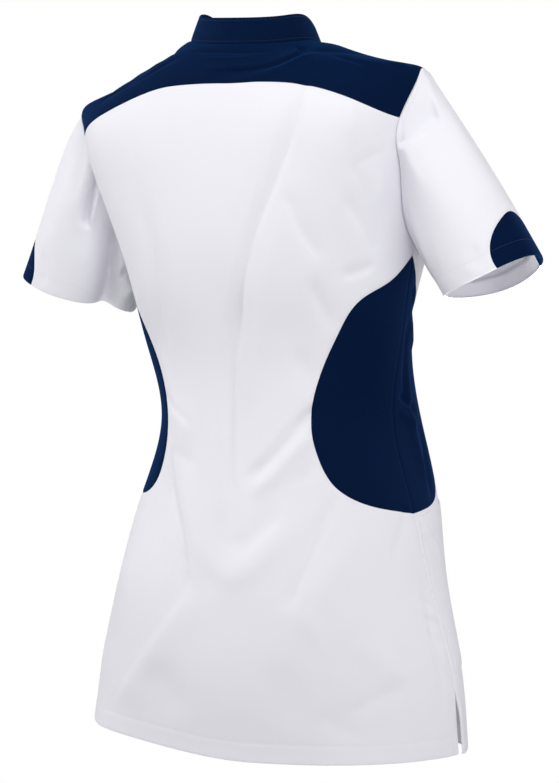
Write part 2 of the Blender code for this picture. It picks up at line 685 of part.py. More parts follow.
def make_sleeve(side, white, navy):
    """One sleeve as a tube, with the half-round piece let into its hem."""
    mirror = np.array((1 if side == "left" else -1, 1, 1))
    length = (SLEEVE_GIRTH, SLEEVE_LENGTH)
    step = dict(length=length, step=SEAM_STEP)
    notches = (0.0, YOKE_BACK_NOTCH, SHOULDER_TIP, YOKE_FRONT_NOTCH, 1.0)
    steps = (ARMHOLE_LOW_STEPS, ARMHOLE_YOKE_STEPS, ARMHOLE_YOKE_STEPS, ARMHOLE_LOW_STEPS)
    head = joined(*(head_run(*run) for run in zip(notches, notches[1:], steps)))
    angle = np.linspace(0, np.pi, SLEEVE_MOON_STEPS + 1)
    moon = rows(np.stack((
        SLEEVE_MOON_CENTRE - SLEEVE_MOON_HALF_WIDTH * np.cos(angle),
        1 - SLEEVE_MOON_HEIGHT * np.sin(angle) ** SLEEVE_MOON_ROUNDNESS,
    ), axis=1))
    left, right = moon[0, 0], moon[-1, 0]
    underarm = line((0.0, 1.0), (0.0, 0.0), **step)
    sleeve_outline = joined(
        head, underarm[::-1] + np.array((1, 0, 0, 0, 0)), line((1.0, 1.0), (right, 1.0), **step),
        moon[::-1], line((left, 1.0), (0.0, 1.0), **step), underarm,
    )
    moon_outline = joined(moon, line((right, 1.0), (left, 1.0), **step))
    pieces = (("sleeve_", sleeve_outline, white), ("sleeve_moon_", moon_outline, navy))
    for name, outline, finish in pieces:
        places, faces = triangulate(outline[:, :2], length, np.array(SLEEVE_CELL))
        wrapped = np.where(places[:, 0] > 1 - 1e-6, places[:, 0] - 1, places[:, 0])
        for i in np.flatnonzero(wrapped != places[:, 0]):
            twin = np.flatnonzero((np.abs(places[:, 0]) < 1e-6) & (np.abs(places[:, 1] - places[i, 1]) < 1e-6))
            faces[faces == i] = twin[0]
        points = folded_sleeve(SLEEVE_FOLDS[side], wrapped, places[:, 1]) * mirror
        direction = sleeve_normals(wrapped, places[:, 1]) * mirror
        cut = np.full(points.shape, np.nan)
        cut[: len(outline)] = outline[:, 2:] * mirror
        add_object(name + side, *wall(points, direction, cut, faces, CLOTH), finish)


def make_pocket(side, white):
    """Patch pocket on one front, made from the points of the front and moved out."""
    sign = 1 if side == "left" else -1
    corners = [(sign * turn, level) for turn, level in POCKET_CORNERS]
    outline = joined(*(line(a, b) for a, b in zip(corners, corners[1:] + corners[:1])))
    lift = lambda places: np.full(len(places), POCKET_LIFT + POCKET_CLOTH)
    trunk_piece("pocket_" + side, outline, white, lift=lift, thickness=POCKET_CLOTH)


def make_studs(finish):
    """Caps of the press studs down the front edge, each square to the cloth."""
    angle = np.arange(STUD_SIDES) * 2 * np.pi / STUD_SIDES
    rings = [
        (STUD_RADIUS * radius * np.cos(a), STUD_RADIUS * radius * np.sin(a), STUD_HEIGHT * height)
        for radius, height in STUD_PROFILE
        for a in angle
    ]
    around = [(i, (i + 1) % STUD_SIDES) for i in range(STUD_SIDES)]
    faces = [(0, 1 + i, 1 + j) for i, j in around]
    for ring in range(len(STUD_PROFILE) - 1):
        low, high = 1 + ring * STUD_SIDES, 1 + (ring + 1) * STUD_SIDES
        faces += [(low + i, high + i, high + j, low + j) for i, j in around]
    faces.append(tuple(range(len(rings), len(rings) - STUD_SIDES, -1)))
    points = np.array([(0, 0, STUD_HEIGHT)] + rings)
    for number in range(STUD_COUNT):
        level = STUD_TOP - number * STUD_PITCH
        normal = Vector(body_normals(2.0, level))
        centre = Vector(body(2.0, level)) + normal * (PLACKET_LIFT + STUD_SEAT)
        stud = add_object(f"stud_{number + 1}", points, faces, finish)
        stud.matrix_world = Matrix.Translation(centre) @ normal.to_track_quat("Z", "X").to_matrix().to_4x4()


def main():
    clear_scene()
    white = material("white_cloth", WHITE, 0.85)
    navy = material("navy_cloth", NAVY, 0.85)
    stud = material("stud_cap", STUD_WHITE, 0.35)
    make_trunk(white, navy)
    make_collar(navy)
    for side in ("left", "right"):
        make_sleeve(side, white, navy)
        make_pocket(side, white)
    make_studs(stud)


main()
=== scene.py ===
"""Medical jacket in its worn form: cloth, seams, stitches and a plain stage, in metres, +Z up.

The front faces -Y and the wearer's left is +X. A place on the trunk has two coordinates: turn,
which is 0 at centre back, 1 at the side seam and 2 at centre front (negative on the wearer's
right), and level, which is the height below the armholes and keeps rising along the cloth
over the shoulders to the neck. A place on a sleeve is its place round the armhole, from 0 to
1, and its share of the way to the cuff. Every pattern piece is a thin shell on these surfaces.
"""

from collections import namedtuple

import bpy
import numpy as np
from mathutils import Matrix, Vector
from mathutils.geometry import delaunay_2d_cdt


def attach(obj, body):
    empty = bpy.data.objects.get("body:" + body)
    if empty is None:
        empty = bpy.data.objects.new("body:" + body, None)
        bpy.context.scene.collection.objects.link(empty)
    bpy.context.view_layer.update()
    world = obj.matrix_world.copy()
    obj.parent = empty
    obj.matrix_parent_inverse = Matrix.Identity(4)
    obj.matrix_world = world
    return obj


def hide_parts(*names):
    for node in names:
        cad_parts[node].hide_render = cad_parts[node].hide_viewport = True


bl_info = {
    "name": "Medical Jacket",
    "version": (1, 0, 0),
    "blender": (4, 5, 0),
    "location": "3D View > Sidebar > Jacket",
    "description": "Cloth, seams and stitches of a short-sleeved medical jacket",
    "category": "Object",
}

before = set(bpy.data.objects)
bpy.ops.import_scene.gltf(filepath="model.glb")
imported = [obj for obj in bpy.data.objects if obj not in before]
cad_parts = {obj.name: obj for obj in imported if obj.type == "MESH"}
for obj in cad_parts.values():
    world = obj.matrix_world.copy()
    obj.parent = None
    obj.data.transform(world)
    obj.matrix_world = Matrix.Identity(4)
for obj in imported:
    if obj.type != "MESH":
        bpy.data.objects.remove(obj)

# Sizes of the garment
HEM_LEVEL = -0.690
HEM_DROP_AT_BACK = 0.004
VENT_TOP = -0.625
VENT_GAP = 0.0036
VENT_FLARE = 0.6
VENT_LIFT_FRONT = 0.0030
VENT_LIFT_BACK = -0.0010
VENT_LIFT_REACH = 0.016
VENT_LIFT_RISE = 0.030
NECK_LEVEL = 0.105
ARMPIT_LEVEL = -0.186
CENTRE_FRONT = 2.0
FRONT_EDGE = CENTRE_FRONT + 0.06
PLACKET_LIFT = 0.00105
PLACKET_RISE = (1.78, 1.88)
COLLAR_HEIGHT = 0.027
COLLAR_LEAN_AT_BACK = 0.005
COLLAR_LEAN_AT_SIDE = 0.012
COLLAR_FRONT_GAP = 0.012
POCKET_OUT = 0.0013
STUD_COUNT = 7
STUD_TOP = -0.095
STUD_PITCH = 0.082
STUD_RADIUS = 0.0058

# How the jacket sits unevenly as worn: sizes, and the stretches over which they fade
LEFT_SHOULDER_DROP = 0.010
SHOULDER_FADE_X = (0.05, 0.20)
SHOULDER_FADE_Z = (-0.07, -0.025)
LEFT_HEM_RISE = 0.012
HEM_FADE_X = (-0.05, 0.15)
HEM_FADE_DEPTH = (0.45, 0.69)
NECK_TILT = 0.006
NECK_TILT_X = (0.065, 0.105)
NECK_TILT_Z = (-0.03, 0.015)
LEFT_CUFF_SHIFT = 0.007
CUFF_FADE_X = (0.215, 0.30)

# Metres of cloth for one turn of the trunk and of the neck, and for one step of u and of v
TURN_LENGTH = 0.24
NECK_TURN_LENGTH = 0.11
TRUNK_LENGTHS = (TURN_LENGTH, 1.0)
COLLAR_LENGTHS = (NECK_TURN_LENGTH, COLLAR_HEIGHT)

# Sections below the armholes. Each has the height, then the points passed by the cloth
# at centre back, back corner, side seam, front corner and centre front.
Section = namedtuple("Section", "height back_y corner_x corner_y side_x side_y chest_x chest_y front_y")
SECTIONS = (
    Section(-0.700, 0.147, 0.153, 0.108, 0.213, 0.002, 0.150, -0.079, -0.129),
    Section(-0.610, 0.136, 0.140, 0.106, 0.202, 0.000, 0.144, -0.083, -0.134),
    Section(-0.530, 0.124, 0.122, 0.104, 0.179, 0.001, 0.136, -0.086, -0.136),
    Section(-0.450, 0.106, 0.110, 0.083, 0.159, 0.002, 0.128, -0.098, -0.135),
    Section(-0.360, 0.093, 0.087, 0.0765, 0.1355, 0.000, 0.113, -0.090, -0.127),
    Section(-0.280, 0.106, 0.109, 0.075, 0.149, 0.006, 0.106, -0.075, -0.124),
    Section(-0.240, 0.117, 0.112, 0.090, 0.155, 0.006, 0.104, -0.080, -0.125),
    Section(-0.200, 0.126, 0.118, 0.100, 0.163, 0.008, 0.112, -0.089, -0.123),
)

# Levels above the armpits, where the cloth leans in over the shoulders, so that each
# point has its own height.
Level = namedtuple(
    "Level",
    "level back_y back_z corner_x corner_y corner_z side_x side_y side_z "
    "chest_x chest_y chest_z front_y front_z",
)
LEVELS = (
    Level(-0.120, 0.133, -0.120, 0.145, 0.112, -0.120, 0.184, 0.012, -0.120,
          0.132, -0.078, -0.120, -0.106, -0.130),
    Level(-0.055, 0.131, -0.055, 0.148, 0.120, -0.055, 0.201, 0.038, -0.066,
          0.145, -0.046, -0.074, -0.074, -0.096),
    Level(-0.015, 0.123, -0.018, 0.135, 0.105, -0.022, 0.2045, 0.059, -0.026,
          0.140, -0.006, -0.042, -0.054, -0.078),
    Level(0.005, 0.119, -0.011, 0.122, 0.100, -0.014, 0.184, 0.056, -0.019,
          0.127, -0.005, -0.035, -0.049, -0.073),
    Level(0.045, 0.111, 0.001, 0.096, 0.089, -0.002, 0.134, 0.048, -0.005,
          0.098, -0.004, -0.024, -0.040, -0.064),
    Level(0.110, 0.102, 0.011, 0.051, 0.080, 0.017, 0.066, 0.037, 0.022,
          0.050, -0.008, -0.012, -0.028, -0.050),
)

# Armhole, from the underarm round the back to the shoulder tip and down the front
Notch = namedtuple("Notch", "name turn level")
ARMHOLE = (
    Notch("underarm", 1.00, -0.186),
    Notch("back_low", 0.84, -0.158),
    Notch("back_middle", 0.762, -0.112),
    Notch("back_yoke", 0.768, -0.068),
    Notch("shoulder_tip", 1.00, -0.012),
    Notch("front_yoke", 1.26, -0.052),
    Notch("front_middle", 1.27, -0.108),
    Notch("front_low", 1.16, -0.160),
)
YOKE_BACK_NOTCH = 3 / 8
SHOULDER_TIP = 4 / 8
YOKE_FRONT_NOTCH = 5 / 8
YOKE_LEVEL_AT_BACK = -0.031
YOKE_FLAT_TURN = 0.15
YOKE_SAG = 0.0044
YOKE_SAG_TURN = -0.16
YOKE_SAG_WIDTH = 0.17
YOKE_FRONT_NECK_TURN = 1.62

# Half-moon at each side of the waist: how far its edge lies from the side seam, in turns.
# The drape has drawn the left one further round at its foot.
Moon = namedtuple("Moon", "height back_right back_left front")
MOON = (
    Moon(-0.200, 0.000, 0.000, 0.000),
    Moon(-0.226, 0.145, 0.145, 0.130),
    Moon(-0.246, 0.330, 0.340, 0.290),
    Moon(-0.270, 0.440, 0.445, 0.375),
    Moon(-0.305, 0.506, 0.495, 0.420),
    Moon(-0.350, 0.505, 0.490, 0.420),
    Moon(-0.395, 0.490, 0.530, 0.410),
    Moon(-0.425, 0.450, 0.530, 0.375),
    Moon(-0.442, 0.340, 0.200, 0.285),
    Moon(-0.451, 0.175, 0.065, 0.150),
    Moon(-0.456, 0.000, 0.000, 0.000),
)

# Sleeve cuff: its centre, the outer point, and the half width from front to back
CUFF_CENTRE = (0.2563, 0.0188, -0.225)
CUFF_OUTER = (0.312, 0.034, -0.206)
CUFF_BACKWARD = (0.0, 0.0485, 0.0)
CUFF_SAG = (0.0, -0.0035, -0.006)
SLEEVE_LENGTHS = (0.40, 0.14)
SLEEVE_FULLNESS = 0.003
# The folds of a sleeve rise from its head over this share of the way down, and its creases over that
SLEEVE_FOLD_START = 0.2
SLEEVE_CREASE_START = 0.05
SLEEVE_MOON_CENTRE = 0.475
SLEEVE_MOON_HALF_WIDTH = 0.140
SLEEVE_MOON_HEIGHT = 0.225
SLEEVE_MOON_ROUNDNESS = 0.9

# Patch pocket on each front, under the half-moon: turn and height of its corners
POCKET_CORNERS = ((1.02, -0.460), (1.66, -0.436), (1.68, -0.590), (1.03, -0.612))

# Soft troughs and ridges of the trunk. A fold runs from start to end. Its half width and
# depth are in metres, and a trough has a negative depth. Its middle is pushed sideways by
# bow, and its two sides differ in width by skew.
Fold = namedtuple(
    "Fold", "name start_turn start_level end_turn end_level width depth bow skew", defaults=(0.0, 1.0)
)
TRUNK_FOLDS = (
    # The largest ones, as in the solids
    Fold("hollow_of_the_back", -0.04, -0.200, -0.04, -0.490, 0.022, -0.0040),
    Fold("ridge_left_of_hollow", 0.12, -0.320, -0.02, -0.505, 0.020, 0.0026),
    Fold("bowl_under_hollow", -0.06, -0.530, -0.36, -0.450, 0.020, 0.0034),
    Fold("drag_from_right_waist", -0.48, -0.374, -0.12, -0.434, 0.018, 0.0016),
    Fold("drag_from_left_waist", 0.47, -0.350, 0.22, -0.380, 0.018, 0.0020),
    Fold("left_skirt_crease", 0.40, -0.410, 0.11, -0.555, 0.018, -0.0045),
    Fold("right_skirt_drag", -0.64, -0.450, -0.38, -0.560, 0.020, 0.0016),
    Fold("right_blade_drag", -0.32, -0.060, -0.13, -0.215, 0.020, -0.0022),
    Fold("left_hem_wave", 0.52, -0.540, 0.60, -0.710, 0.034, -0.0050),
    Fold("right_hem_wave", -0.50, -0.560, -0.55, -0.710, 0.034, -0.0045),
    Fold("left_front_bust_drag", 1.30, -0.190, 1.62, -0.260, 0.022, -0.0025),
    Fold("right_front_bust_drag", -1.32, -0.180, -1.66, -0.270, 0.022, -0.0028),
    Fold("left_front_skirt", 1.60, -0.440, 1.50, -0.700, 0.034, -0.0045),
    Fold("right_front_skirt", -1.56, -0.450, -1.62, -0.700, 0.034, -0.0050),
    # Finer ones on the hidden fronts
    Fold("right_bust_crease", -1.360, -0.150, -1.720, -0.225, 0.0100, -0.0016, 0.010, 1.2),
    Fold("left_bust_crease", 1.340, -0.160, 1.700, -0.235, 0.0110, -0.0015, -0.010, 1.2),
    Fold("right_underarm_drag", -1.240, -0.170, -1.420, -0.300, 0.0120, -0.0018, 0.006, 1.1),
    Fold("left_underarm_drag", 1.230, -0.175, 1.400, -0.290, 0.0120, -0.0017, -0.006, 1.1),
    Fold("right_front_waist_1", -1.430, -0.345, -1.780, -0.372, 0.0080, -0.0014, 0.006, 1.2),
    Fold("left_front_waist_1", 1.440, -0.350, 1.800, -0.380, 0.0085, -0.0015, -0.006, 1.2),
    Fold("right_front_waist_2", -1.480, -0.385, -1.820, -0.430, 0.0100, -0.0011, -0.006, 0.9),
    Fold("left_front_waist_2", 1.470, -0.380, 1.760, -0.420, 0.0090, -0.0012, 0.006, 0.9),
    Fold("right_front_long", -1.740, -0.470, -1.800, -0.680, 0.0160, -0.0020, 0.006, 1.1),
    Fold("left_front_long", 1.760, -0.450, 1.720, -0.660, 0.0150, -0.0018, -0.006, 1.1),
    Fold("right_collarbone", -1.560, -0.020, -1.420, -0.110, 0.0120, -0.0014, 0.006, 1.2),
    Fold("left_collarbone", 1.550, -0.025, 1.400, -0.100, 0.0120, -0.0015, -0.006, 1.2),
)
# Largest folds of each sleeve, as place round it and share of the way to the cuff
SLEEVE_FOLDS = {
    "left": (
        Fold("underarm_fold", 0.13, 0.15, 0.055, 1.10, 0.014, -0.0050),
        Fold("leaf_dent", 0.27, 0.10, 0.20, 0.55, 0.014, -0.0025),
        Fold("front_drag", 0.74, 0.12, 0.86, 0.75, 0.016, -0.0030),
    ),
    "right": (
        Fold("underarm_fold", 0.10, 0.15, 0.040, 1.10, 0.014, -0.0035),
        Fold("head_dent", 0.45, 0.16, 0.31, 0.22, 0.013, -0.0030),
        Fold("front_drag", 0.72, 0.12, 0.84, 0.75, 0.016, -0.0035),
    ),
}
# Where a fold fades out at each end, as shares of its run
FOLD_FADE = (-0.12, 0.35)
# The widths beyond which the bell of a fold or a crease is left out
BELL_REACH = 3

# Creases drawn through several points, each a turn and a level. They fade to nothing at
# both ends, over this share of their length unless it says otherwise.
Crease = namedtuple("Crease", "name width depth path skew fade", defaults=(1.0, 0.3))
TRUNK_CREASES = (
    # Back, from the yoke to the waist
    Crease("spine_high", 0.0058, -0.0052, (
        (-0.38, -0.026), (-0.34, -0.054), (-0.26, -0.112), (-0.195, -0.168), (-0.125, -0.23), (-0.04, -0.3),
    ), 0.8, 0.16),
    Crease("spine_low", 0.009, -0.0044, (
        (-0.13, -0.225), (-0.04, -0.29), (0.0, -0.34), (0.005, -0.394), (-0.03, -0.44), (-0.07, -0.486),
    ), 0.9, 0.28),
    Crease("beside_spine", 0.012, 0.0013, (
        (-0.3, -0.15), (-0.235, -0.23), (-0.15, -0.3), (-0.11, -0.38),
    ), 1.1),
    Crease("left_blade", 0.012, -0.0031, (
        (0.262, -0.11), (0.285, -0.16), (0.32, -0.215), (0.35, -0.262), (0.4, -0.31), (0.42, -0.345),
    ), 1.2),
    Crease("left_blade_soft", 0.009, 0.001, ((0.18, -0.15), (0.21, -0.23), (0.25, -0.3)), 0.9),
    Crease("right_blade_tick", 0.005, -0.0011, (
        (-0.7, -0.104), (-0.64, -0.107), (-0.585, -0.114), (-0.525, -0.119),
    ), 1.3),
    Crease("right_blade_hook", 0.0052, -0.0012, (
        (-0.515, -0.112), (-0.535, -0.122), (-0.57, -0.13), (-0.605, -0.143), (-0.64, -0.162),
    ), 1.2),
    Crease("right_blade_light", 0.009, 0.0021, (
        (-0.53, -0.048), (-0.54, -0.078), (-0.545, -0.104),
    ), 0.9, 0.45),
    Crease("right_blade_light_2", 0.007, 0.0016, (
        (-0.65, -0.122), (-0.69, -0.142), (-0.72, -0.16),
    ), 0.9, 0.45),
    Crease("right_drag_1", 0.0068, -0.002, (
        (-0.275, -0.14), (-0.31, -0.154), (-0.355, -0.172), (-0.42, -0.192), (-0.5, -0.212),
    ), 1.5, 0.22),
    Crease("right_drag_2", 0.0076, -0.0018, (
        (-0.515, -0.145), (-0.56, -0.158), (-0.63, -0.172), (-0.7, -0.19), (-0.76, -0.205),
    ), 1.4, 0.22),
    Crease("right_moon_tick", 0.0052, -0.002, ((-0.56, -0.224), (-0.64, -0.221), (-0.76, -0.21)), 1.3),
    Crease("right_moon_shade", 0.011, -0.0029, (
        (-0.43, -0.22), (-0.465, -0.248), (-0.505, -0.285),
    ), 1.1, 0.4),
    # Waist
    Crease("waist_trough", 0.0085, -0.0044, (
        (-0.59, -0.345), (-0.505, -0.355), (-0.44, -0.367), (-0.365, -0.381), (-0.265, -0.399),
        (-0.13, -0.418), (-0.06, -0.424),
    ), 1.2, 0.22),
    Crease("waist_ridge", 0.0095, 0.0034, (
        (-0.56, -0.372), (-0.45, -0.385), (-0.34, -0.402), (-0.22, -0.424), (-0.11, -0.438),
    ), 0.9, 0.25),
    Crease("waist_soft_dark", 0.011, -0.0023, ((-0.33, -0.29), (-0.4, -0.315), (-0.5, -0.332)), 1.1, 0.4),
    Crease("under_the_ridge", 0.006, -0.0016, (
        (-0.52, -0.402), (-0.43, -0.416), (-0.33, -0.43),
    ), 1.0, 0.35),
    Crease("left_waist_crease", 0.0048, -0.0013, (
        (0.53, -0.336), (0.47, -0.345), (0.39, -0.355), (0.29, -0.365), (0.23, -0.372),
    ), 1.4, 0.25),
    Crease("left_waist_crease_low", 0.0064, -0.0014, ((0.42, -0.392), (0.3, -0.402), (0.175, -0.412)), 1.2),
    # Skirt
    Crease("bowl_rim", 0.0125, 0.0022, (
        (0.3, -0.4), (0.195, -0.44), (0.095, -0.48), (-0.005, -0.507), (-0.11, -0.517), (-0.205, -0.505),
        (-0.29, -0.482), (-0.35, -0.458),
    ), 1.0, 0.2),
    Crease("bowl_floor", 0.011, -0.0028, (
        (0.02, -0.44), (-0.01, -0.462), (-0.05, -0.482), (-0.11, -0.486), (-0.2, -0.47), (-0.31, -0.448),
    ), 1.1, 0.25),
    Crease("left_crisp_crease", 0.0036, -0.0034, (
        (0.44, -0.385), (0.36, -0.422), (0.255, -0.454), (0.182, -0.486), (0.137, -0.516), (0.1, -0.546),
    ), 1.7, 0.16),
    Crease("left_of_crisp", 0.008, 0.0021, (
        (0.42, -0.425), (0.32, -0.458), (0.24, -0.492), (0.19, -0.524), (0.165, -0.548),
    ), 0.9, 0.25),
    Crease("seat_left_edge", 0.011, 0.0024, (
        (0.07, -0.528), (0.11, -0.548), (0.18, -0.578), (0.255, -0.61), (0.32, -0.636), (0.4, -0.668),
    ), 1.6, 0.2),
    Crease("seat_top_edge", 0.015, 0.0007, (
        (0.12, -0.54), (0.02, -0.54), (-0.1, -0.537), (-0.22, -0.535), (-0.33, -0.543),
    ), 1.0, 0.3),
    Crease("seat_right_edge", 0.012, 0.002, (
        (-0.31, -0.538), (-0.385, -0.55), (-0.45, -0.574), (-0.48, -0.606), (-0.49, -0.64),
    ), 1.0, 0.3),
    Crease("below_the_seat", 0.06, -0.017, (
        (0.56, -0.7), (0.2, -0.702), (-0.2, -0.702), (-0.52, -0.7), (-0.72, -0.694),
    ), 1.0, 0.4),
    Crease("low_left_dark", 0.02, -0.0034, ((0.22, -0.6), (0.16, -0.632), (0.06, -0.668)), 1.0, 0.45),
    Crease("low_middle_dark", 0.018, -0.0029, ((-0.24, -0.59), (-0.3, -0.63), (-0.32, -0.67)), 1.0, 0.45),
    Crease("right_long_dark", 0.0065, -0.0036, (
        (-0.57, -0.436), (-0.5, -0.456), (-0.44, -0.478), (-0.398, -0.504), (-0.36, -0.532),
        (-0.335, -0.552),
    ), 0.7, 0.18),
    Crease("right_long_light", 0.013, 0.0021, (
        (-0.64, -0.47), (-0.56, -0.498), (-0.48, -0.53), (-0.42, -0.56),
    ), 1.0, 0.4),
    Crease("right_hip_tick", 0.0056, -0.0015, (
        (-0.96, -0.446), (-0.92, -0.46), (-0.87, -0.474), (-0.82, -0.494), (-0.8, -0.508),
    ), 1.3, 0.25),
    Crease("right_low_light", 0.013, 0.0021, ((-0.59, -0.566), (-0.67, -0.598), (-0.73, -0.624)), 1.0, 0.4),
    Crease("right_low_dark", 0.007, -0.0013, (
        (-0.77, -0.612), (-0.69, -0.622), (-0.6, -0.631), (-0.52, -0.641), (-0.45, -0.652),
    ), 1.3, 0.25),
    Crease("right_hem_dark", 0.01, -0.0017, ((-0.38, -0.642), (-0.46, -0.655), (-0.56, -0.666)), 1.0, 0.35),
    Crease("side_seam_shade", 0.005, -0.0016, (
        (-0.975, -0.5), (-0.945, -0.545), (-0.915, -0.6), (-0.905, -0.66),
    ), 1.0, 0.3),
    Crease("pucker_1", 0.0034, -0.0013, ((-0.89, -0.534), (-0.94, -0.543), (-1.01, -0.553)), 1.2),
    Crease("pucker_2", 0.0034, 0.001, ((-0.9, -0.548), (-0.95, -0.553), (-1.01, -0.56)), 0.9),
    Crease("pucker_3", 0.0034, -0.0014, ((-0.885, -0.556), (-0.94, -0.561), (-1.02, -0.567)), 1.3),
    Crease("pucker_4", 0.0034, -0.0013, ((-0.895, -0.568), (-0.95, -0.577), (-1.02, -0.588)), 1.2),
    Crease("pucker_5", 0.0036, 0.001, ((-0.89, -0.584), (-0.94, -0.592), (-1.0, -0.602)), 0.9),
    Crease("pucker_6", 0.0036, -0.0011, ((-0.9, -0.6), (-0.95, -0.612), (-1.0, -0.628)), 1.2),
    # Side pieces
    Crease("side_tick", 0.0036, -0.0029, (
        (-1.03, -0.338), (-1.11, -0.345), (-1.2, -0.354), (-1.26, -0.356),
    ), 1.5),
    Crease("side_tick_light", 0.005, 0.0018, ((-1.04, -0.355), (-1.13, -0.362), (-1.24, -0.368)), 0.8),
    Crease("side_notch", 0.0075, -0.0044, (
        (-1.04, -0.225), (-1.12, -0.238), (-1.22, -0.256), (-1.33, -0.262),
    ), 1.2),
    Crease("side_bump", 0.008, 0.0021, ((-1.1, -0.262), (-1.19, -0.276), (-1.28, -0.292)), 1.0),
    Crease("side_long_trough", 0.007, -0.0023, ((-1.06, -0.256), (-1.09, -0.3), (-1.11, -0.35)), 1.2),
    Crease("side_long_ridge", 0.0085, 0.0026, ((-1.13, -0.29), (-1.165, -0.36), (-1.19, -0.45)), 0.8),
    Crease("side_front_crease", 0.008, -0.0029, ((-1.33, -0.35), (-1.26, -0.4), (-1.18, -0.452)), 1.2),
    Crease("left_side_ridge", 0.01, 0.0023, ((1.12, -0.28), (1.17, -0.35), (1.2, -0.43)), 0.8),
    Crease("left_side_crease", 0.008, -0.0026, ((1.33, -0.34), (1.25, -0.392), (1.18, -0.445)), 1.2),
    Crease("pocket_mouth_ridge", 0.005, 0.0018, ((-1.02, -0.464), (-1.1, -0.482), (-1.19, -0.504)), 0.8),
)
YOKE_CREASES = (
    Crease("from_the_collar", 0.0055, -0.0032, (
        (-0.56, 0.092), (-0.44, 0.05), (-0.32, 0.014), (-0.215, -0.012), (-0.1, -0.018), (0.03, -0.014),
    ), 1.7, 0.14),
    Crease("under_the_first", 0.0065, 0.002, (
        (-0.47, 0.034), (-0.35, 0.0), (-0.22, -0.026), (-0.06, -0.03),
    ), 0.8, 0.25),
    Crease("below_collar_left", 0.0085, -0.0018, (
        (0.22, 0.06), (0.06, 0.05), (-0.12, 0.046), (-0.3, 0.06),
    ), 1.2),
    Crease("below_collar_ridge", 0.007, 0.0015, ((0.12, 0.028), (-0.06, 0.02), (-0.22, 0.028)), 1.0),
    Crease("left_knee", 0.009, -0.0045, ((0.3, 0.066), (0.45, 0.067), (0.6, 0.068), (0.9, 0.058)), 0.8),
    Crease("left_knee_2", 0.0085, -0.0032, ((0.36, 0.014), (0.5, 0.006), (0.7, 0.004), (0.9, 0.008)), 1.2),
    Crease("left_drag", 0.0075, -0.0022, ((0.2, 0.04), (0.38, 0.006), (0.6, -0.03)), 1.2),
    Crease("left_light", 0.008, 0.0018, ((0.33, 0.04), (0.47, 0.034), (0.64, 0.032)), 1.0),
    Crease("right_knee", 0.009, -0.0025, (
        (-0.42, 0.034), (-0.62, 0.044), (-0.82, 0.044), (-0.95, 0.05),
    ), 1.2),
    Crease("right_drag", 0.008, -0.0022, ((-0.54, 0.024), (-0.6, -0.006), (-0.66, -0.05)), 1.3),
    Crease("right_tip", 0.008, -0.0018, ((-0.7, -0.006), (-0.83, -0.02), (-0.96, 0.0)), 0.9),
    Crease("front_left_dent", 0.008, -0.0018, ((1.18, 0.044), (1.31, 0.018), (1.45, 0.0)), 1.2),
    Crease("front_right_dent", 0.008, -0.0018, ((-1.17, 0.048), (-1.32, 0.016), (-1.47, 0.005)), 1.2),
)
SLEEVE_CREASES = {
    "left": (
        Crease("leaf", 0.007, -0.0075, (
            (0.28, -0.04), (0.27, 0.06), (0.258, 0.13), (0.246, 0.21), (0.232, 0.29), (0.218, 0.36),
        ), 1.2, 0.16),
        Crease("leaf_rim", 0.0055, 0.0036, (
            (0.244, 0.0), (0.232, 0.11), (0.222, 0.22), (0.21, 0.34),
        ), 0.9, 0.2),
        Crease("soft_patch", 0.012, -0.0027, (
            (0.42, 0.04), (0.365, 0.12), (0.335, 0.22), (0.315, 0.34),
        ), 1.1, 0.35),
        Crease("underarm_deep", 0.0125, -0.015, (
            (0.145, 0.05), (0.128, 0.22), (0.108, 0.42), (0.084, 0.66), (0.058, 1.1),
        ), 1.5, 0.14),
        Crease("underarm_flap", 0.019, 0.0115, ((0.016, 0.4), (0.0, 0.72), (-0.012, 1.15)), 1.0, 0.3),
        Crease("wrinkle_1", 0.0042, -0.0033, ((0.098, 0.22), (0.093, 0.4), (0.086, 0.62)), 1.3, 0.25),
        Crease("wrinkle_2", 0.0044, 0.003, ((0.08, 0.24), (0.074, 0.46), (0.064, 0.72)), 0.8, 0.25),
        Crease("wrinkle_3", 0.0038, -0.0029, ((0.056, 0.32), (0.06, 0.48), (0.066, 0.7)), 1.3, 0.25),
        Crease("wrinkle_4", 0.0046, 0.0025, ((0.03, 0.48), (0.036, 0.7), (0.04, 0.94)), 0.8, 0.25),
        Crease("cuff_dimple", 0.007, -0.0024, ((0.35, 0.7), (0.312, 0.82), (0.268, 0.98)), 1.2, 0.35),
        Crease("front_crease", 0.007, -0.003, ((0.8, 0.08), (0.85, 0.26), (0.92, 0.52)), 1.3),
    ),
    "right": (
        Crease("wedge", 0.0062, -0.0072, (
            (0.305, -0.05), (0.33, 0.05), (0.358, 0.085), (0.388, 0.118), (0.418, 0.158), (0.448, 0.21),
        ), 1.9, 0.14),
        Crease("wedge_rim", 0.008, 0.0021, ((0.3, 0.06), (0.35, 0.14), (0.4, 0.22)), 0.9, 0.35),
        Crease("inner_shade", 0.011, -0.0006, (
            (0.222, 0.04), (0.205, 0.21), (0.178, 0.45), (0.15, 0.68), (0.12, 0.95),
        ), 1.0, 0.25),
        Crease("cuff_dimple", 0.007, -0.0012, ((0.33, 0.8), (0.303, 0.87), (0.285, 0.98)), 1.3, 0.35),
        Crease("cuff_light", 0.008, 0.0007, ((0.262, 0.8), (0.262, 0.9), (0.255, 1.0)), 1.0, 0.4),
        Crease("head_soft", 0.012, -0.0021, ((0.5, 0.06), (0.47, 0.2), (0.42, 0.42)), 1.0, 0.4),
        Crease("front_crease", 0.007, -0.003, ((0.79, 0.06), (0.84, 0.28), (0.905, 0.58)), 1.3),
    ),
}

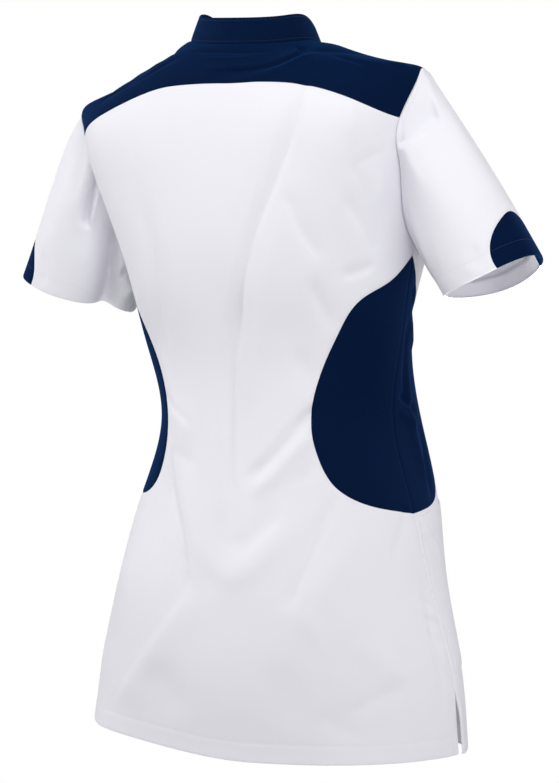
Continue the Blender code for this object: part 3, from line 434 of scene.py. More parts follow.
# Edges of a piece: how deep and wide the cloth dips there, then the width of the band of
# folded cloth along it, how far that stands out, how deep its line of stitches is drawn in,
# and how much thicker the cloth is there
EdgeKind = namedtuple("EdgeKind", "dip dip_width band rise groove double")
EDGE_KINDS = {
    "seam": EdgeKind(0.0007, 0.0016, 0.0, 0.0, 0.0, 0.0),
    "hem": EdgeKind(0.0003, 0.0010, 0.0187, 0.00022, 0.00035, 0.0009),
    "cuff": EdgeKind(0.0003, 0.0010, 0.0165, 0.00008, 0.00014, 0.0009),
    "vent": EdgeKind(0.0003, 0.0010, 0.0100, 0.00025, 0.0004, 0.0007),
    "head": EdgeKind(0.0007, 0.0014, 0.0045, 0.00050, 0.0005, 0.0005),
    "neck": EdgeKind(0.0007, 0.0014, 0.0028, 0.00010, 0.0004, 0.0),
    "rim": EdgeKind(0.0005, 0.0010, 0.0030, 0.00010, 0.0003, 0.0),
    "placket": EdgeKind(0.0003, 0.0010, 0.0300, 0.00015, 0.0004, 0.0005),
    "patch": EdgeKind(0.0003, 0.0020, 0.0020, 0.00010, 0.0003, 0.0009),
    "mouth": EdgeKind(0.0003, 0.0010, 0.0220, 0.00025, 0.0004, 0.0004),
}
EDGE_REACH = 0.035
BAND_RISE_WIDTH = 0.001
BAND_END = (-0.0006, 0.0012)
GROOVE_WIDTH = 0.0009
# Rows of points beside an edge, and beside its line of stitches
DIP_ROWS = (0.0008, 0.0018, 0.0032)
GROOVE_ROWS = (-0.0011, 0.0, 0.0011)

# Mesh of the cloth: metres between the points of an edge, and steps along the other edges
EDGE_STEP = 0.0025
ARMHOLE_LOW_STEPS = 66
ARMHOLE_YOKE_STEPS = 24
SLEEVE_MOON_STEPS = 60
CREASE_STEP = 0.006
ROW_CLEARANCE = 0.0005
ROW_CELL = 0.0007
LATTICE_CLEARANCE = 0.55
# Limits of how far a corner of the cloth is drawn in and of how far its cut leans
SHARPEST_CORNER = 0.12
MOST_SLANT = 0.55
# Gap between two pieces along their seam
CLOTH_GAP = 0.00005
# Edges sharper than these angles stay sharp
CLOTH_SHARP = 0.9
STITCH_SHARP = 3.0
STUD_SHARP = 1.2
SLOPE_STEP = 0.001
TINY = 1e-12
SAME_PLACE = 1e-7

# Stitches: five-sided spindles, whose rings stand at these shares of the length and are this
# wide. They are lower than wide, and they sit this far up in shares of the thread's radius.
STITCH_SIDES = 5
STITCH_RINGS = ((-0.5, 0.0), (-0.38, 0.8), (0.0, 1.0), (0.38, 0.8), (0.5, 0.0))
STITCH_FLATNESS = 0.7
STITCH_SEAT = 0.3
STITCH_HALF_STEP = 0.0004
# What a line of stitches keeps clear of every edge, and that as a share of its band at most
STITCH_CLEARANCE = 0.0015
STITCH_CLEARANCE_SHARE = 0.8
# A longer step is a gap in the line, and a shorter line is left out
LONGEST_STITCH_GAP = 0.02
FEWEST_STITCH_ROWS = 4

# A pattern piece: its outline as runs with their kinds, the surface that it lies on, that
# surface's normals, metres for one step of u and of v, its mesh, and its lift off the surface
Pattern = namedtuple(
    "Pattern", "runs surface outward lengths step lift mirror", defaults=(None, np.ones(3, int))
)

# Studs: profile from the middle of the dish to the foot, in shares of radius and height
STUD_HEIGHT = 0.0022
STUD_SEAT = 0.0006
STUD_PROFILE = (
    (0.00, 0.80), (0.25, 0.81), (0.45, 0.86), (0.58, 0.96), (0.68, 1.00), (0.78, 0.97), (0.88, 0.86),
    (0.95, 0.70), (0.99, 0.50), (1.00, 0.30), (0.99, 0.12), (0.96, 0.00),
)

# How each cloth looks: unevenness of its tone, sheen and its tint, shine, and the strength of
# its weave and of its crumples. Thread is the cloth's colour times its tone.
ClothLook = namedtuple("ClothLook", "contrast sheen sheen_tint shine weave crumples thread_tone")
CLOTH_LOOKS = {
    # The white thread's tone below 1 darkens it a little, as painted shade on the stitches
    "white": ClothLook(0.015, 0.12, (0.95, 0.95, 1.0), 0.25, 0.10, 0.05, 0.93),
    "navy": ClothLook(0.10, 0.14, (0.03, 0.26, 1.0), 0.03, 0.14, 0.05, 2.2),
}
SHEEN_ROUGHNESS = 0.45
# The least roughness of the cloth, and how much the patches add to it
CLOTH_ROUGHNESS = (0.80, 0.10)
# Weights of the patches and of the yarn in the cloth's tone
TONE_WEIGHTS = (0.6, 0.4)
TWILL_PITCH = 0.0011
TWILL_DEPTH = 0.0004
# Weights of the ribs, of the yarn across them and of the yarn's unevenness in the weave's height
TWILL_WEIGHTS = (0.35, 0.12, 0.5)
TWILL_MIDDLE = 0.5
CRUMPLE_DEPTH = 0.004
YARN_SCALE = 220.0
PATCH_SCALE = 7.0
CRUMPLE_SCALE = 34.0
GRAIN_DEPTH = 0.0003
GRAIN_TONES = (0.9, 1.08)
NOISE_DETAIL = 2.0
CRUMPLE_DETAIL = 3.0
# Thread, the studs' caps and the floor, each of one colour with a faint grain
PlainLook = namedtuple("PlainLook", "roughness grain_scale grain coat", defaults=(0.0,))
THREAD_LOOK = PlainLook(0.6, 900.0, 0.3)
CAP_LOOK = PlainLook(0.30, 60.0, 0.03, 0.3)
FLOOR_LOOK = PlainLook(0.9, 1.5, 0.02)

# The photograph's view
CAMERA_AZIMUTH = 213.0
CAMERA_PLACE = (-1.1819, 1.8199, -0.335)
CAMERA_LENS = 96.41
CAMERA_SENSOR = 36.0

# Large soft lamps: degrees towards the picture's right from the camera, degrees up, distance,
# size, and the height at which each is aimed
Lamp = namedtuple("Lamp", "name turn rise distance size aim_height")
LAMPS = (
    Lamp("front", 0, 14, 1.5, 0.8, 0.02),
    Lamp("right", 110, 20, 2.2, 1.4, -0.25),
    Lamp("low", 42, -18, 2.2, 1.4, -0.35),
    Lamp("left", -90, 0, 2.0, 1.4, -0.30),
    Lamp("high", -50, 45, 1.9, 1.2, -0.05),
    Lamp("crown", 0, 40, 2.0, 1.4, -0.05),
    Lamp("rim", -110, 20, 2.2, 1.4, -0.25),
)
# The lamp of each sleeve shines past the trunk onto the side that the photograph shows light
SLEEVE_LAMPS = {
    "left": Lamp("left_sleeve", 55, -8, 1.2, 0.3, -0.17),
    "right": Lamp("right_sleeve", -70, -8, 1.2, 0.3, -0.17),
}
SLEEVE_LAMP_AIM_X = 0.22
CUFF_LIGHT_SPREAD = 1.2
CUFF_LIGHT_SIZE = 0.06
CUFF_LIGHT_DISTANCE = 0.18
FLOOR_SIDES = 64
FLOOR_RADII = (1.5, 3.0)
FLOOR_COLOUR = (0.86, 0.86, 0.87)
# Seen by the camera alone, so that the floor stays pale on the side away from the lamps
FLOOR_GLOW = 0.60
AIR_COLOUR = (1.0, 1.0, 1.0, 1.0)


def spline_slopes(knots, values):
    """Slopes of the natural cubic spline through values at knots, for each column."""
    count = len(knots)
    gap = np.diff(knots)
    system = np.zeros((count, count))
    right = np.zeros(values.shape)
    rise = np.diff(values, axis=0) / gap[:, None]
    system[0, :2] = 2, 1
    right[0] = 3 * rise[0]
    for i in range(1, count - 1):
        system[i, i - 1 : i + 2] = gap[i], 2 * (gap[i - 1] + gap[i]), gap[i - 1]
        right[i] = 3 * (gap[i] * rise[i - 1] + gap[i - 1] * rise[i])
    system[-1, -2:] = 1, 2
    right[-1] = 3 * rise[-1]
    return np.linalg.solve(system, right)


def ring_slopes(values):
    """Slopes of the closed cubic spline through evenly spaced values, along axis 0."""
    count = len(values)
    system = 4 * np.eye(count) + np.roll(np.eye(count), 1, 0) + np.roll(np.eye(count), -1, 0)
    flat = 3 * (np.roll(values, -1, 0) - np.roll(values, 1, 0)).reshape(count, -1)
    return np.linalg.solve(system, flat).reshape(values.shape)


def hermite(share, start, end, slope_start, slope_end):
    """Cubic between two values with given slopes, at share 0 to 1 of the interval."""
    a = share * share * (3 - 2 * share)
    b = share * (1 - share) ** 2
    c = share * share * (share - 1)
    return (1 - a) * start + a * end + b * slope_start + c * slope_end


def smooth_rise(value, start, end):
    """0 up to start, 1 from end on, and an even S between them."""
    share = np.clip((value - start) / (end - start), 0, 1)
    return share * share * (3 - 2 * share)


def body_table():
    """Knots of level, and at each the eight points round the body, as arrays."""
    rows = [
        (s.height, s.back_y, s.height, s.corner_x, s.corner_y, s.height, s.side_x, s.side_y,
         s.height, s.chest_x, s.chest_y, s.height, s.front_y, s.height)
        for s in SECTIONS
    ]
    table = np.array(rows + [tuple(level) for level in LEVELS])
    knots = table[:, 0]
    back, corner, side = table[:, 1:3], table[:, 3:6], table[:, 6:9]
    chest, front = table[:, 9:12], table[:, 12:14]
    mirror = np.array((-1, 1, 1))
    middle = [np.insert(column, 0, 0, axis=1) for column in (back, front)]
    ring = [middle[0], corner, side, chest, middle[1], chest * mirror, side * mirror, corner * mirror]
    return knots, np.stack(ring, axis=1)


KNOTS, RING = body_table()
RING_SLOPES = spline_slopes(KNOTS, RING.reshape(len(KNOTS), -1)).reshape(RING.shape)
RING_POINTS = RING.shape[1]
RING_SYSTEM = ring_slopes(np.eye(RING_POINTS))


def spline_at(knots, values, slopes, along):
    """Values of a cubic spline at some distances along its knots."""
    row = np.clip(np.searchsorted(knots, along, "right") - 1, 0, len(knots) - 2)
    wider = (..., *[None] * (values.ndim - 1))
    gap = (knots[row + 1] - knots[row])[wider]
    share = (along - knots[row])[wider] / gap
    return hermite(share, values[row], values[row + 1], slopes[row] * gap, slopes[row + 1] * gap)


def ring_place(place, count):
    """The points of a ring before and after each place, and the share of the way between them."""
    first = np.floor(place).astype(int) % count
    return first, (first + 1) % count, (place - np.floor(place))[..., None]


def smooth_body(turn, level):
    """Points of the body surface without its folds.

    Eight points of a ring at this level come from splines up the body, and a closed spline
    round the ring gives the point at this turn.
    """
    turn, level = np.broadcast_arrays(np.asarray(turn, float), np.asarray(level, float))
    ring = spline_at(KNOTS, RING, RING_SLOPES, level)
    slopes = np.einsum("ij,...jk->...ik", RING_SYSTEM, ring)
    first, after, share = ring_place((turn * 2) % RING_POINTS, RING_POINTS)
    ends = [
        np.take_along_axis(array, index[..., None, None], -2)[..., 0, :]
        for array in (ring, slopes) for index in (first, after)
    ]
    return hermite(share, *ends)


def normals(surface, u, v, step=0.002):
    """Outward unit normals of a surface whose u runs to the left seen from outside."""
    across = surface(u + step, v) - surface(u - step, v)
    along = surface(u, v + step) - surface(u, v - step)
    cross = np.cross(along, across)
    return cross / np.linalg.norm(cross, axis=-1, keepdims=True)


def relief(folds, u, v, lengths):
    """Height of the folds: a bell across each run, which fades out at both ends.

    The run bends sideways on a parabola by its bow, and the bell is wider on one side than
    on the other by its skew. A fold is worked out only at places near it.
    """
    u, v = np.broadcast_arrays(np.asarray(u, float) * lengths[0], np.asarray(v, float) * lengths[1])
    total = np.zeros(u.shape)
    for fold in folds:
        start = np.array((fold.start_turn, fold.start_level)) * lengths
        end = np.array((fold.end_turn, fold.end_level)) * lengths
        reach = BELL_REACH * fold.width * max(fold.skew, 1 / fold.skew) + abs(fold.bow)
        (low_u, low_v), (high_u, high_v) = np.minimum(start, end) - reach, np.maximum(start, end) + reach
        near = (u > low_u) & (u < high_u) & (v > low_v) & (v < high_v)
        if not near.any():
            continue
        run = end - start
        length = np.hypot(*run)
        x, y = u[near] - start[0], v[near] - start[1]
        along = (x * run[0] + y * run[1]) / length**2
        across = (x * run[1] - y * run[0]) / length - fold.bow * 4 * along * (1 - along)
        width = fold.width * np.where(across > 0, fold.skew, 1 / fold.skew)
        fade = smooth_rise(np.minimum(along, 1 - along), *FOLD_FADE)
        total[near] += fold.depth * fade * np.exp(-((across / width) ** 2))
    return total


def spaced_spline(table, knots, count):
    """Evenly spaced points of the natural cubic spline through the rows of a table."""
    return spline_at(knots, table, spline_slopes(knots, table), np.linspace(0, knots[-1], count))


def lengths_along(points):
    """Distance of each point from the first one, along a polyline."""
    return np.insert(np.cumsum(np.hypot(*np.diff(points, axis=0).T)), 0, 0)


def drawn(creases, lengths):
    """Each crease with points along the smooth line through its own points, in metres of cloth."""
    tables = [np.array(crease.path) * lengths for crease in creases]
    ends = [lengths_along(table) for table in tables]
    return [
        (crease, spaced_spline(table, knots, int(knots[-1] / CREASE_STEP) + 2))
        for crease, table, knots in zip(creases, tables, ends)
    ]


def nearest_on(run, points):
    """The nearest place of a polyline to each point: its stretch, share along it, and distance squared."""
    start, way = run[:-1], np.diff(run, axis=0)
    offset = points[:, None] - start
    share = np.clip((offset * way).sum(axis=2) / np.maximum((way**2).sum(axis=1), TINY), 0, 1)
    squared = ((offset - share[..., None] * way) ** 2).sum(axis=2)
    best = squared.argmin(axis=1)
    row = np.arange(len(best))
    return best, share[row, best], squared[row, best]


def crease_relief(lines, u, v, lengths):
    """Height of the creases: a bell of the distance from each line, fading out at both ends.

    The distance has a sign, so that the bell can be wider on one side of its line.
    """
    u, v = np.broadcast_arrays(np.asarray(u, float) * lengths[0], np.asarray(v, float) * lengths[1])
    places = np.stack((u, v), axis=-1)
    total = np.zeros(u.shape)
    for crease, run in lines:
        reach = BELL_REACH * crease.width * max(crease.skew, 1 / crease.skew)
        near = np.all((places > run.min(axis=0) - reach) & (places < run.max(axis=0) + reach), axis=-1)
        if not near.any():
            continue
        best, share, squared = nearest_on(run, places[near])
        way = np.diff(run, axis=0)
        offset = places[near] - run[best]
        side = offset[:, 0] * way[best, 1] - offset[:, 1] * way[best, 0]
        width = crease.width * np.where(side > 0, crease.skew, 1 / crease.skew)
        knots = lengths_along(run)
        along = (knots[best] + share * (knots[best + 1] - knots[best])) / knots[-1]
        fade = smooth_rise(np.minimum(along, 1 - along), 0, crease.fade)
        total[near] += crease.depth * fade * np.exp(-squared / width**2)
    return total


TRUNK_LINES = drawn(TRUNK_CREASES + YOKE_CREASES, TRUNK_LENGTHS)
SLEEVE_LINES = {side: drawn(creases, SLEEVE_LENGTHS) for side, creases in SLEEVE_CREASES.items()}


def body(turn, level):
    """Points of the trunk's surface with its folds and creases."""
    turn, level = np.broadcast_arrays(np.asarray(turn, float), np.asarray(level, float))
    height = relief(TRUNK_FOLDS, turn, level, TRUNK_LENGTHS)
    height = height + crease_relief(TRUNK_LINES, turn, level, TRUNK_LENGTHS)
    return smooth_body(turn, level) + normals(smooth_body, turn, level) * height[..., None]


def armhole(place):
    """Turn and level on the wearer's left armhole, at place 0 to 1 from the underarm."""
    table = np.array([(notch.turn, notch.level) for notch in ARMHOLE])
    slopes = ring_slopes(table)
    first, after, share = ring_place(np.asarray(place, float) % 1 * len(table), len(table))
    return hermite(share, table[first], table[after], slopes[first], slopes[after])


def armhole_notches():
    """Turn and level of the points that the wearer's left armhole passes."""
    return armhole(np.arange(len(ARMHOLE)) / len(ARMHOLE))


def cuff(place):
    """Points of the left cuff: an ellipse that starts at the underarm and turns to the back."""
    centre = np.array(CUFF_CENTRE)
    half = np.array(CUFF_OUTER) - centre
    angle = 2 * np.pi * np.asarray(place, float)[..., None]
    ellipse = centre - half * np.cos(angle) + np.array(CUFF_BACKWARD) * np.sin(angle)
    return ellipse + np.array(CUFF_SAG) * np.sin(angle) ** 2


def body_normals(turn, level):
    """Outward unit normals of the trunk."""
    return normals(body, turn, level)


def collar(turn, share):
    """Points of the stand collar: up from the neck edge and a little inward."""
    turn, share = np.broadcast_arrays(np.asarray(turn, float), np.asarray(share, float))
    base = body(turn, np.full(turn.shape, NECK_LEVEL))
    neck_centre = 0.5 * (body(0.0, NECK_LEVEL) + body(CENTRE_FRONT, NECK_LEVEL))
    inward = (neck_centre - base) * np.array((1, 1, 0))
    inward /= np.linalg.norm(inward, axis=-1, keepdims=True)
    sideways = np.sin(turn * np.pi / 2) ** 2
    lean = COLLAR_LEAN_AT_BACK + (COLLAR_LEAN_AT_SIDE - COLLAR_LEAN_AT_BACK) * sideways
    rise = np.array((0, 0, COLLAR_HEIGHT)) + inward * lean[..., None]
    return base + rise * share[..., None]


def collar_normals(turn, share):
    """Outward unit normals of the collar."""
    return normals(collar, turn, share)


def mean_direction(first, second):
    """Unit vectors halfway between two sets of unit vectors."""
    total = first + second
    return total / np.linalg.norm(total, axis=-1, keepdims=True)


def line(start, end, lengths=TRUNK_LENGTHS):
    """Rows of a straight seam; a row is u, v and the direction of the cut, or nan."""
    start, end = np.array(start), np.array(end)
    count = max(1, round(np.hypot(*((end - start) * lengths)) / EDGE_STEP))
    share = np.linspace(0, 1, count + 1)[:, None]
    return rows(start + (end - start) * share)


def rows(places, cut=None):
    """Rows of a seam from its places and, where two walls meet at an angle, its cut."""
    free = np.full((len(places), 3), np.nan)
    return np.hstack((places, free if cut is None else cut))


def joined(*parts):
    """One outline from seams end to end. A shared end keeps the row that has a cut."""
    out = []
    for part in parts:
        for row in part:
            if out and np.allclose(out[-1][:2], row[:2], atol=SAME_PLACE):
                if np.isnan(out[-1][2]):
                    out[-1] = row
            else:
                out.append(row)
    if np.allclose(out[0][:2], out[-1][:2], atol=SAME_PLACE):
        last = out.pop()
        if np.isnan(out[0][2]):
            out[0] = last
    return np.array(out)


def other_side(part):
    """The same seam on the wearer's right, in the opposite order."""
    return part[::-1] * np.array((-1, 1, -1, 1, 1))


def armhole_cut(place):
    """Direction in which both walls are cut where the sleeve meets the trunk."""
    seam = armhole(place)
    _, outward = sleeve_of("left")
    return mean_direction(body_normals(seam[:, 0], seam[:, 1]), outward(place, 0 * place))


def armhole_run(start, end, count):
    """Rows of the left armhole from one place to another, as turn and level."""
    place = np.linspace(start, end, count + 1)
    return rows(armhole(place), armhole_cut(place))


def head_run(start, end, count):
    """Rows of the left sleeve head along the same stretch, as place and share."""
    place = np.linspace(start, end, count + 1)
    return rows(np.stack((place, 0 * place), axis=1), armhole_cut(place))


def neck_run(start, end):
    """Rows of the neck edge from one turn to another."""
    count = max(1, round(abs(end - start) * NECK_TURN_LENGTH / EDGE_STEP))
    turn = np.linspace(start, end, count + 1)
    level = np.full(turn.shape, NECK_LEVEL)
    cut = mean_direction(body_normals(turn, level), collar_normals(turn, 0 * turn))
    return rows(np.stack((turn, level), axis=1), cut)


def moon_edge(column):
    """Rows of one edge of the half-moon, from bottom to top, on the left side."""
    table = np.array([(getattr(moon, column), moon.height) for moon in MOON])[::-1]
    knots = lengths_along(table * TRUNK_LENGTHS)
    edge = spaced_spline(table, knots, round(knots[-1] / EDGE_STEP) + 1)
    edge[:, 0] = 1 + edge[:, 0] * (1 if column == "front" else -1)
    return rows(edge)


def hem_run(start, end):
    """Rows of the hem, which drops a little at centre back."""
    part = line((start, 0.0), (end, 0.0))
    part[:, 1] = HEM_LEVEL - HEM_DROP_AT_BACK * np.cos(np.clip(part[:, 0], -1, 1) * np.pi / 2) ** 2
    return part


def vent_run(towards):
    """Rows up one edge of the side vent, from the hem to the seam above it."""
    part = line((1.0, HEM_LEVEL), (1.0, VENT_TOP))
    part[:, 0] += towards * VENT_GAP / 2 / TURN_LENGTH * np.linspace(1, 0, len(part)) ** VENT_FLARE
    return part


def yoke_run_back():
    """Rows of the back yoke seam from the right armhole to the left one."""
    end = armhole(YOKE_BACK_NOTCH)
    part = line((-end[0], 0.0), (end[0], 0.0))
    drop = smooth_rise(np.abs(part[:, 0]), YOKE_FLAT_TURN, end[0])
    sag = YOKE_SAG * np.exp(-(((part[:, 0] - YOKE_SAG_TURN) / YOKE_SAG_WIDTH) ** 2))
    part[:, 1] = YOKE_LEVEL_AT_BACK + (end[1] - YOKE_LEVEL_AT_BACK) * drop - sag
    return part


def inside(points, outline):
    """Whether each point lies within a closed outline."""
    start, end = outline, np.roll(outline, -1, 0)
    x, y = points[:, :1], points[:, 1:]
    crosses = (start[:, 1] > y) != (end[:, 1] > y)
    rise = np.where(end[:, 1] == start[:, 1], TINY, end[:, 1] - start[:, 1])
    reach = start[:, 0] + (y - start[:, 1]) * (end[:, 0] - start[:, 0]) / rise
    return (crosses & (x < reach)).sum(axis=1) % 2 == 1


def posed(points):
    """The points as worn: left shoulder low, left hem and left of the neck high, left cuff in."""
    x, z = points[:, 0], points[:, 2]
    shoulder = smooth_rise(x, *SHOULDER_FADE_X) * smooth_rise(z, *SHOULDER_FADE_Z)
    hem = smooth_rise(x, *HEM_FADE_X) * smooth_rise(-z, *HEM_FADE_DEPTH)
    beside_neck = 1 - smooth_rise(np.abs(x), *NECK_TILT_X)
    neck = np.clip(x / NECK_TILT_X[0], -1, 1) * beside_neck * smooth_rise(z, *NECK_TILT_Z)
    lift = LEFT_HEM_RISE * hem - LEFT_SHOULDER_DROP * shoulder + NECK_TILT * neck
    shift = LEFT_CUFF_SHIFT * smooth_rise(x, *CUFF_FADE_X)
    return points + np.stack((-shift, 0 * lift, lift), axis=1)


def sleeve_of(side):
    """Surface and normals of one sleeve, drawn on the wearer's left for either side.

    Straight lines run from the armhole of that side to the cuff, with some fullness, and the
    folds and creases of that side stand on them. The normals are those of the plain lines.
    """
    mirror = np.array((side_sign(side), 1, 1))
    notches = armhole_notches()
    root = (body(mirror[0] * notches[:, 0], notches[:, 1]) * mirror).mean(axis=0)

    def plain(place, share):
        place, share = np.broadcast_arrays(np.asarray(place, float), np.asarray(share, float))
        seam = armhole(place)
        start = body(mirror[0] * seam[..., 0], seam[..., 1]) * mirror
        points = start + (cuff(place) - start) * share[..., None]
        outward = points - root - (np.array(CUFF_CENTRE) - root) * share[..., None]
        outward /= np.linalg.norm(outward, axis=-1, keepdims=True)
        return points + outward * (SLEEVE_FULLNESS * np.sin(np.pi * np.clip(share, 0, 1)))[..., None]

    def outward_normals(place, share):
        return -normals(plain, place, share)

    def folded(place, share):
        folds, creases = SLEEVE_FOLDS[side], SLEEVE_LINES[side]
        large = sum(relief(folds, place - turn, share, SLEEVE_LENGTHS) for turn in (0, 1))
        fine = sum(crease_relief(creases, place - turn, share, SLEEVE_LENGTHS) for turn in (0, 1))
        height = large * smooth_rise(share, 0, SLEEVE_FOLD_START)
        height = height + fine * smooth_rise(share, 0, SLEEVE_CREASE_START)
        return plain(place, share) + outward_normals(place, share) * height[..., None]

    return folded, outward_normals


def step_aside(surface, run):
    """Step of u and v that goes one metre across the cloth, square to a run at each place.

    The direction square to the run in the cloth is turned into a step of u and v by the
    least-squares inverse of the two slopes of the surface.
    """
    u, v, small = run[:, 0], run[:, 1], SLOPE_STEP
    across = (surface(u + small, v) - surface(u - small, v)) / (2 * small)
    along = (surface(u, v + small) - surface(u, v - small)) / (2 * small)
    tangent = np.gradient(surface(u, v), axis=0)
    side = np.cross(np.cross(along, across), tangent)
    side /= np.linalg.norm(side, axis=1, keepdims=True)
    aa, ab, bb = (across * across).sum(1), (across * along).sum(1), (along * along).sum(1)
    sa, sb = (side * across).sum(1), (side * along).sum(1)
    return np.stack((bb * sa - ab * sb, aa * sb - ab * sa), axis=1) / (aa * bb - ab * ab)[:, None]


def within(points, outline, block=4000):
    """Whether each point lies within a closed outline, worked out in blocks."""
    parts = [inside(points[i : i + block], outline) for i in range(0, len(points), block)]
    return np.concatenate(parts) if parts else np.zeros(0, bool)


def clear_of(points, others, gap, block=1500):
    """Whether each flat point keeps a gap from all of some others."""
    keep = np.ones(len(points), bool)
    order = np.argsort(others[:, 1])
    others = others[order]
    rank = np.argsort(points[:, 1])
    for first in range(0, len(points), block):
        some = rank[first : first + block]
        low = np.searchsorted(others[:, 1], points[some, 1].min() - gap)
        high = np.searchsorted(others[:, 1], points[some, 1].max() + gap)
        if high > low:
            offset = points[some, None] - others[low:high]
            keep[some] = (offset**2).sum(axis=2).min(axis=1) > gap**2
    return keep


def run_distance(points, run, block=1500):
    """Distance of each point from a polyline, up to the reach of an edge's own relief."""
    out = np.full(len(points), EDGE_REACH)
    low, high = run.min(axis=0) - EDGE_REACH, run.max(axis=0) + EDGE_REACH
    near = np.flatnonzero(np.all((points > low) & (points < high), axis=1))
    for first in range(0, len(near), block):
        some = near[first : first + block]
        out[some] = np.sqrt(nearest_on(run, points[some])[2])
    return out


def edge_relief(pattern, points):
    """Height and extra thickness of the cloth near its edges, at points of its surface.

    The cloth dips on a bell at the edge itself. Where it is folded over, it stands out and is
    double up to its row of stitches, which is drawn in on a narrow bell.
    """
    height, extra = np.zeros(len(points)), np.zeros(len(points))
    for run, kind in pattern.runs:
        edge = EDGE_KINDS[kind]
        distance = run_distance(points, pattern.surface(run[:, 0], run[:, 1]))
        height -= edge.dip * np.exp(-((distance / edge.dip_width) ** 2))
        if edge.band:
            band = 1 - smooth_rise(distance - edge.band, *BAND_END)
            height += edge.rise * band * smooth_rise(distance, 0, BAND_RISE_WIDTH)
            height -= edge.groove * np.exp(-(((distance - edge.band) / GROOVE_WIDTH) ** 2))
            extra = np.maximum(extra, edge.double * band)
    return height, extra


def outline_of(pattern):
    """Rows of the whole outline of a pattern piece."""
    return joined(*(run for run, _ in pattern.runs))


def rows_beside_edges(pattern, flat):
    """Flat points in rows beside each edge of a pattern piece, at true distances in the cloth."""
    near = []
    for run, kind in pattern.runs:
        band = EDGE_KINDS[kind].band
        distances = DIP_ROWS + tuple(band + d for d in GROOVE_ROWS if band + d > DIP_ROWS[-1])
        aside = step_aside(pattern.surface, run)
        near += [run[:, :2] + way * distance * aside for distance in distances for way in (1, -1)]
    near = np.vstack(near) * pattern.lengths
    near = near[np.isfinite(near).all(axis=1)]
    near = near[within(near, flat)]
    near = near[clear_of(near, flat, ROW_CLEARANCE)]
    _, first = np.unique(np.floor(near / ROW_CELL), axis=0, return_index=True)
    return near[first]


def lattice_within(pattern, flat, near):
    """Flat points of a lattice inside an outline, every second row moved by half a step."""
    step = pattern.step * 1
    low, high = np.floor(flat.min(axis=0) / step), np.ceil(flat.max(axis=0) / step)
    columns, levels = np.meshgrid(np.arange(low[0], high[0] + 1), np.arange(low[1], high[1] + 1))
    lattice = np.stack((columns.ravel() + 0.5 * (levels.ravel() % 2), levels.ravel()), axis=1) * step
    lattice = lattice[within(lattice, flat)]
    return lattice[clear_of(lattice, np.vstack((flat, near)), LATTICE_CLEARANCE * step)]


def flat_mesh(pattern):
    """Places and triangles that fill a pattern piece, and the cut at each of its points."""
    outline = outline_of(pattern)
    flat = outline[:, :2] * pattern.lengths
    near = rows_beside_edges(pattern, flat)
    points = np.vstack((flat, near, lattice_within(pattern, flat, near)))
    outline_face = [list(range(len(flat)))]
    result = delaunay_2d_cdt([Vector(point) for point in points], [], outline_face, 1, SAME_PLACE)
    places = np.array([tuple(point) for point in result[0]]) / pattern.lengths
    faces = np.array(result[2])
    used = np.unique(faces)
    index = np.full(len(places), -1)
    index[used] = np.arange(len(used))
    cut = np.full((len(places), 3), np.nan)
    cut[: len(outline)] = outline[:, 2:]
    return places[used], index[faces], cut[used]


def cloth_surface(pattern, places, cut=None):
    """Outer points of the cloth, its cut direction, its normals and its extra thickness."""
    u, v = places[:, 0], places[:, 1]
    base = pattern.surface(u, v)
    direction = pattern.outward(u, v)
    height, extra = edge_relief(pattern, base)
    if pattern.lift is not None:
        height = height + pattern.lift(places)
    lean = direction if cut is None else np.where(np.isnan(cut), direction, cut)
    slant = np.maximum((lean * direction).sum(axis=1, keepdims=True), MOST_SLANT)
    return base + lean / slant * height[:, None], lean, direction, extra


def shell(outer, lean, direction, thickness, faces):
    """Vertices and faces of a closed thin wall behind an open surface of triangles.

    Each free edge is drawn in by half a seam gap, and the inner wall lies along the lean.
    """
    corner = outer[faces]
    facing = np.cross(corner[:, 1] - corner[:, 0], corner[:, 2] - corner[:, 0])
    if (facing * direction[faces[:, 0]]).sum() < 0:
        faces = faces[:, ::-1]
    edges = np.concatenate((faces[:, (0, 1)], faces[:, (1, 2)], faces[:, (2, 0)]))
    _, index, count = np.unique(np.sort(edges, axis=1), axis=0, return_inverse=True, return_counts=True)
    free = edges[count[index.reshape(-1)] == 1]
    run = outer[free[:, 1]] - outer[free[:, 0]]
    run /= np.maximum(np.linalg.norm(run, axis=1, keepdims=True), TINY)
    before, after = np.zeros(outer.shape), np.zeros(outer.shape)
    before[free[:, 1]] = np.cross(lean[free[:, 1]], run)
    after[free[:, 0]] = np.cross(lean[free[:, 0]], run)
    rim = np.unique(free)
    sharpness = np.maximum(1 + (before[rim] * after[rim]).sum(axis=1, keepdims=True), SHARPEST_CORNER)
    outer = outer.copy()
    outer[rim] += (before[rim] + after[rim]) / sharpness * CLOTH_GAP / 2
    slant = np.maximum((lean * direction).sum(axis=1, keepdims=True), MOST_SLANT)
    inner = outer - lean / slant * thickness[:, None]
    total = len(outer)
    sides = np.stack((free[:, 1], free[:, 0], free[:, 0] + total, free[:, 1] + total), axis=1)
    return np.vstack((outer, inner)), faces.tolist() + (faces[:, ::-1] + total).tolist() + sides.tolist()


def new_piece(name, points, faces, finish, uv=None, sharp=CLOTH_SHARP):
    """A named piece at the origin with one material, smooth but for its sharp edges."""
    mesh = bpy.data.meshes.new(name)
    mesh.from_pydata(np.asarray(points).tolist(), [], faces)
    if uv is not None:
        corners = np.empty(len(mesh.loops), np.int32)
        mesh.loops.foreach_get("vertex_index", corners)
        layer = mesh.uv_layers.new(name="cloth")
        layer.data.foreach_set("uv", np.asarray(uv, np.float32)[corners].ravel())
    mesh.materials.append(finish)
    mesh.shade_smooth()
    mesh.set_sharp_from_angle(angle=sharp)
    mesh.validate()
    piece = bpy.data.objects.new(name, mesh)
    bpy.context.scene.collection.objects.link(piece)
    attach(piece, "root")
    return piece


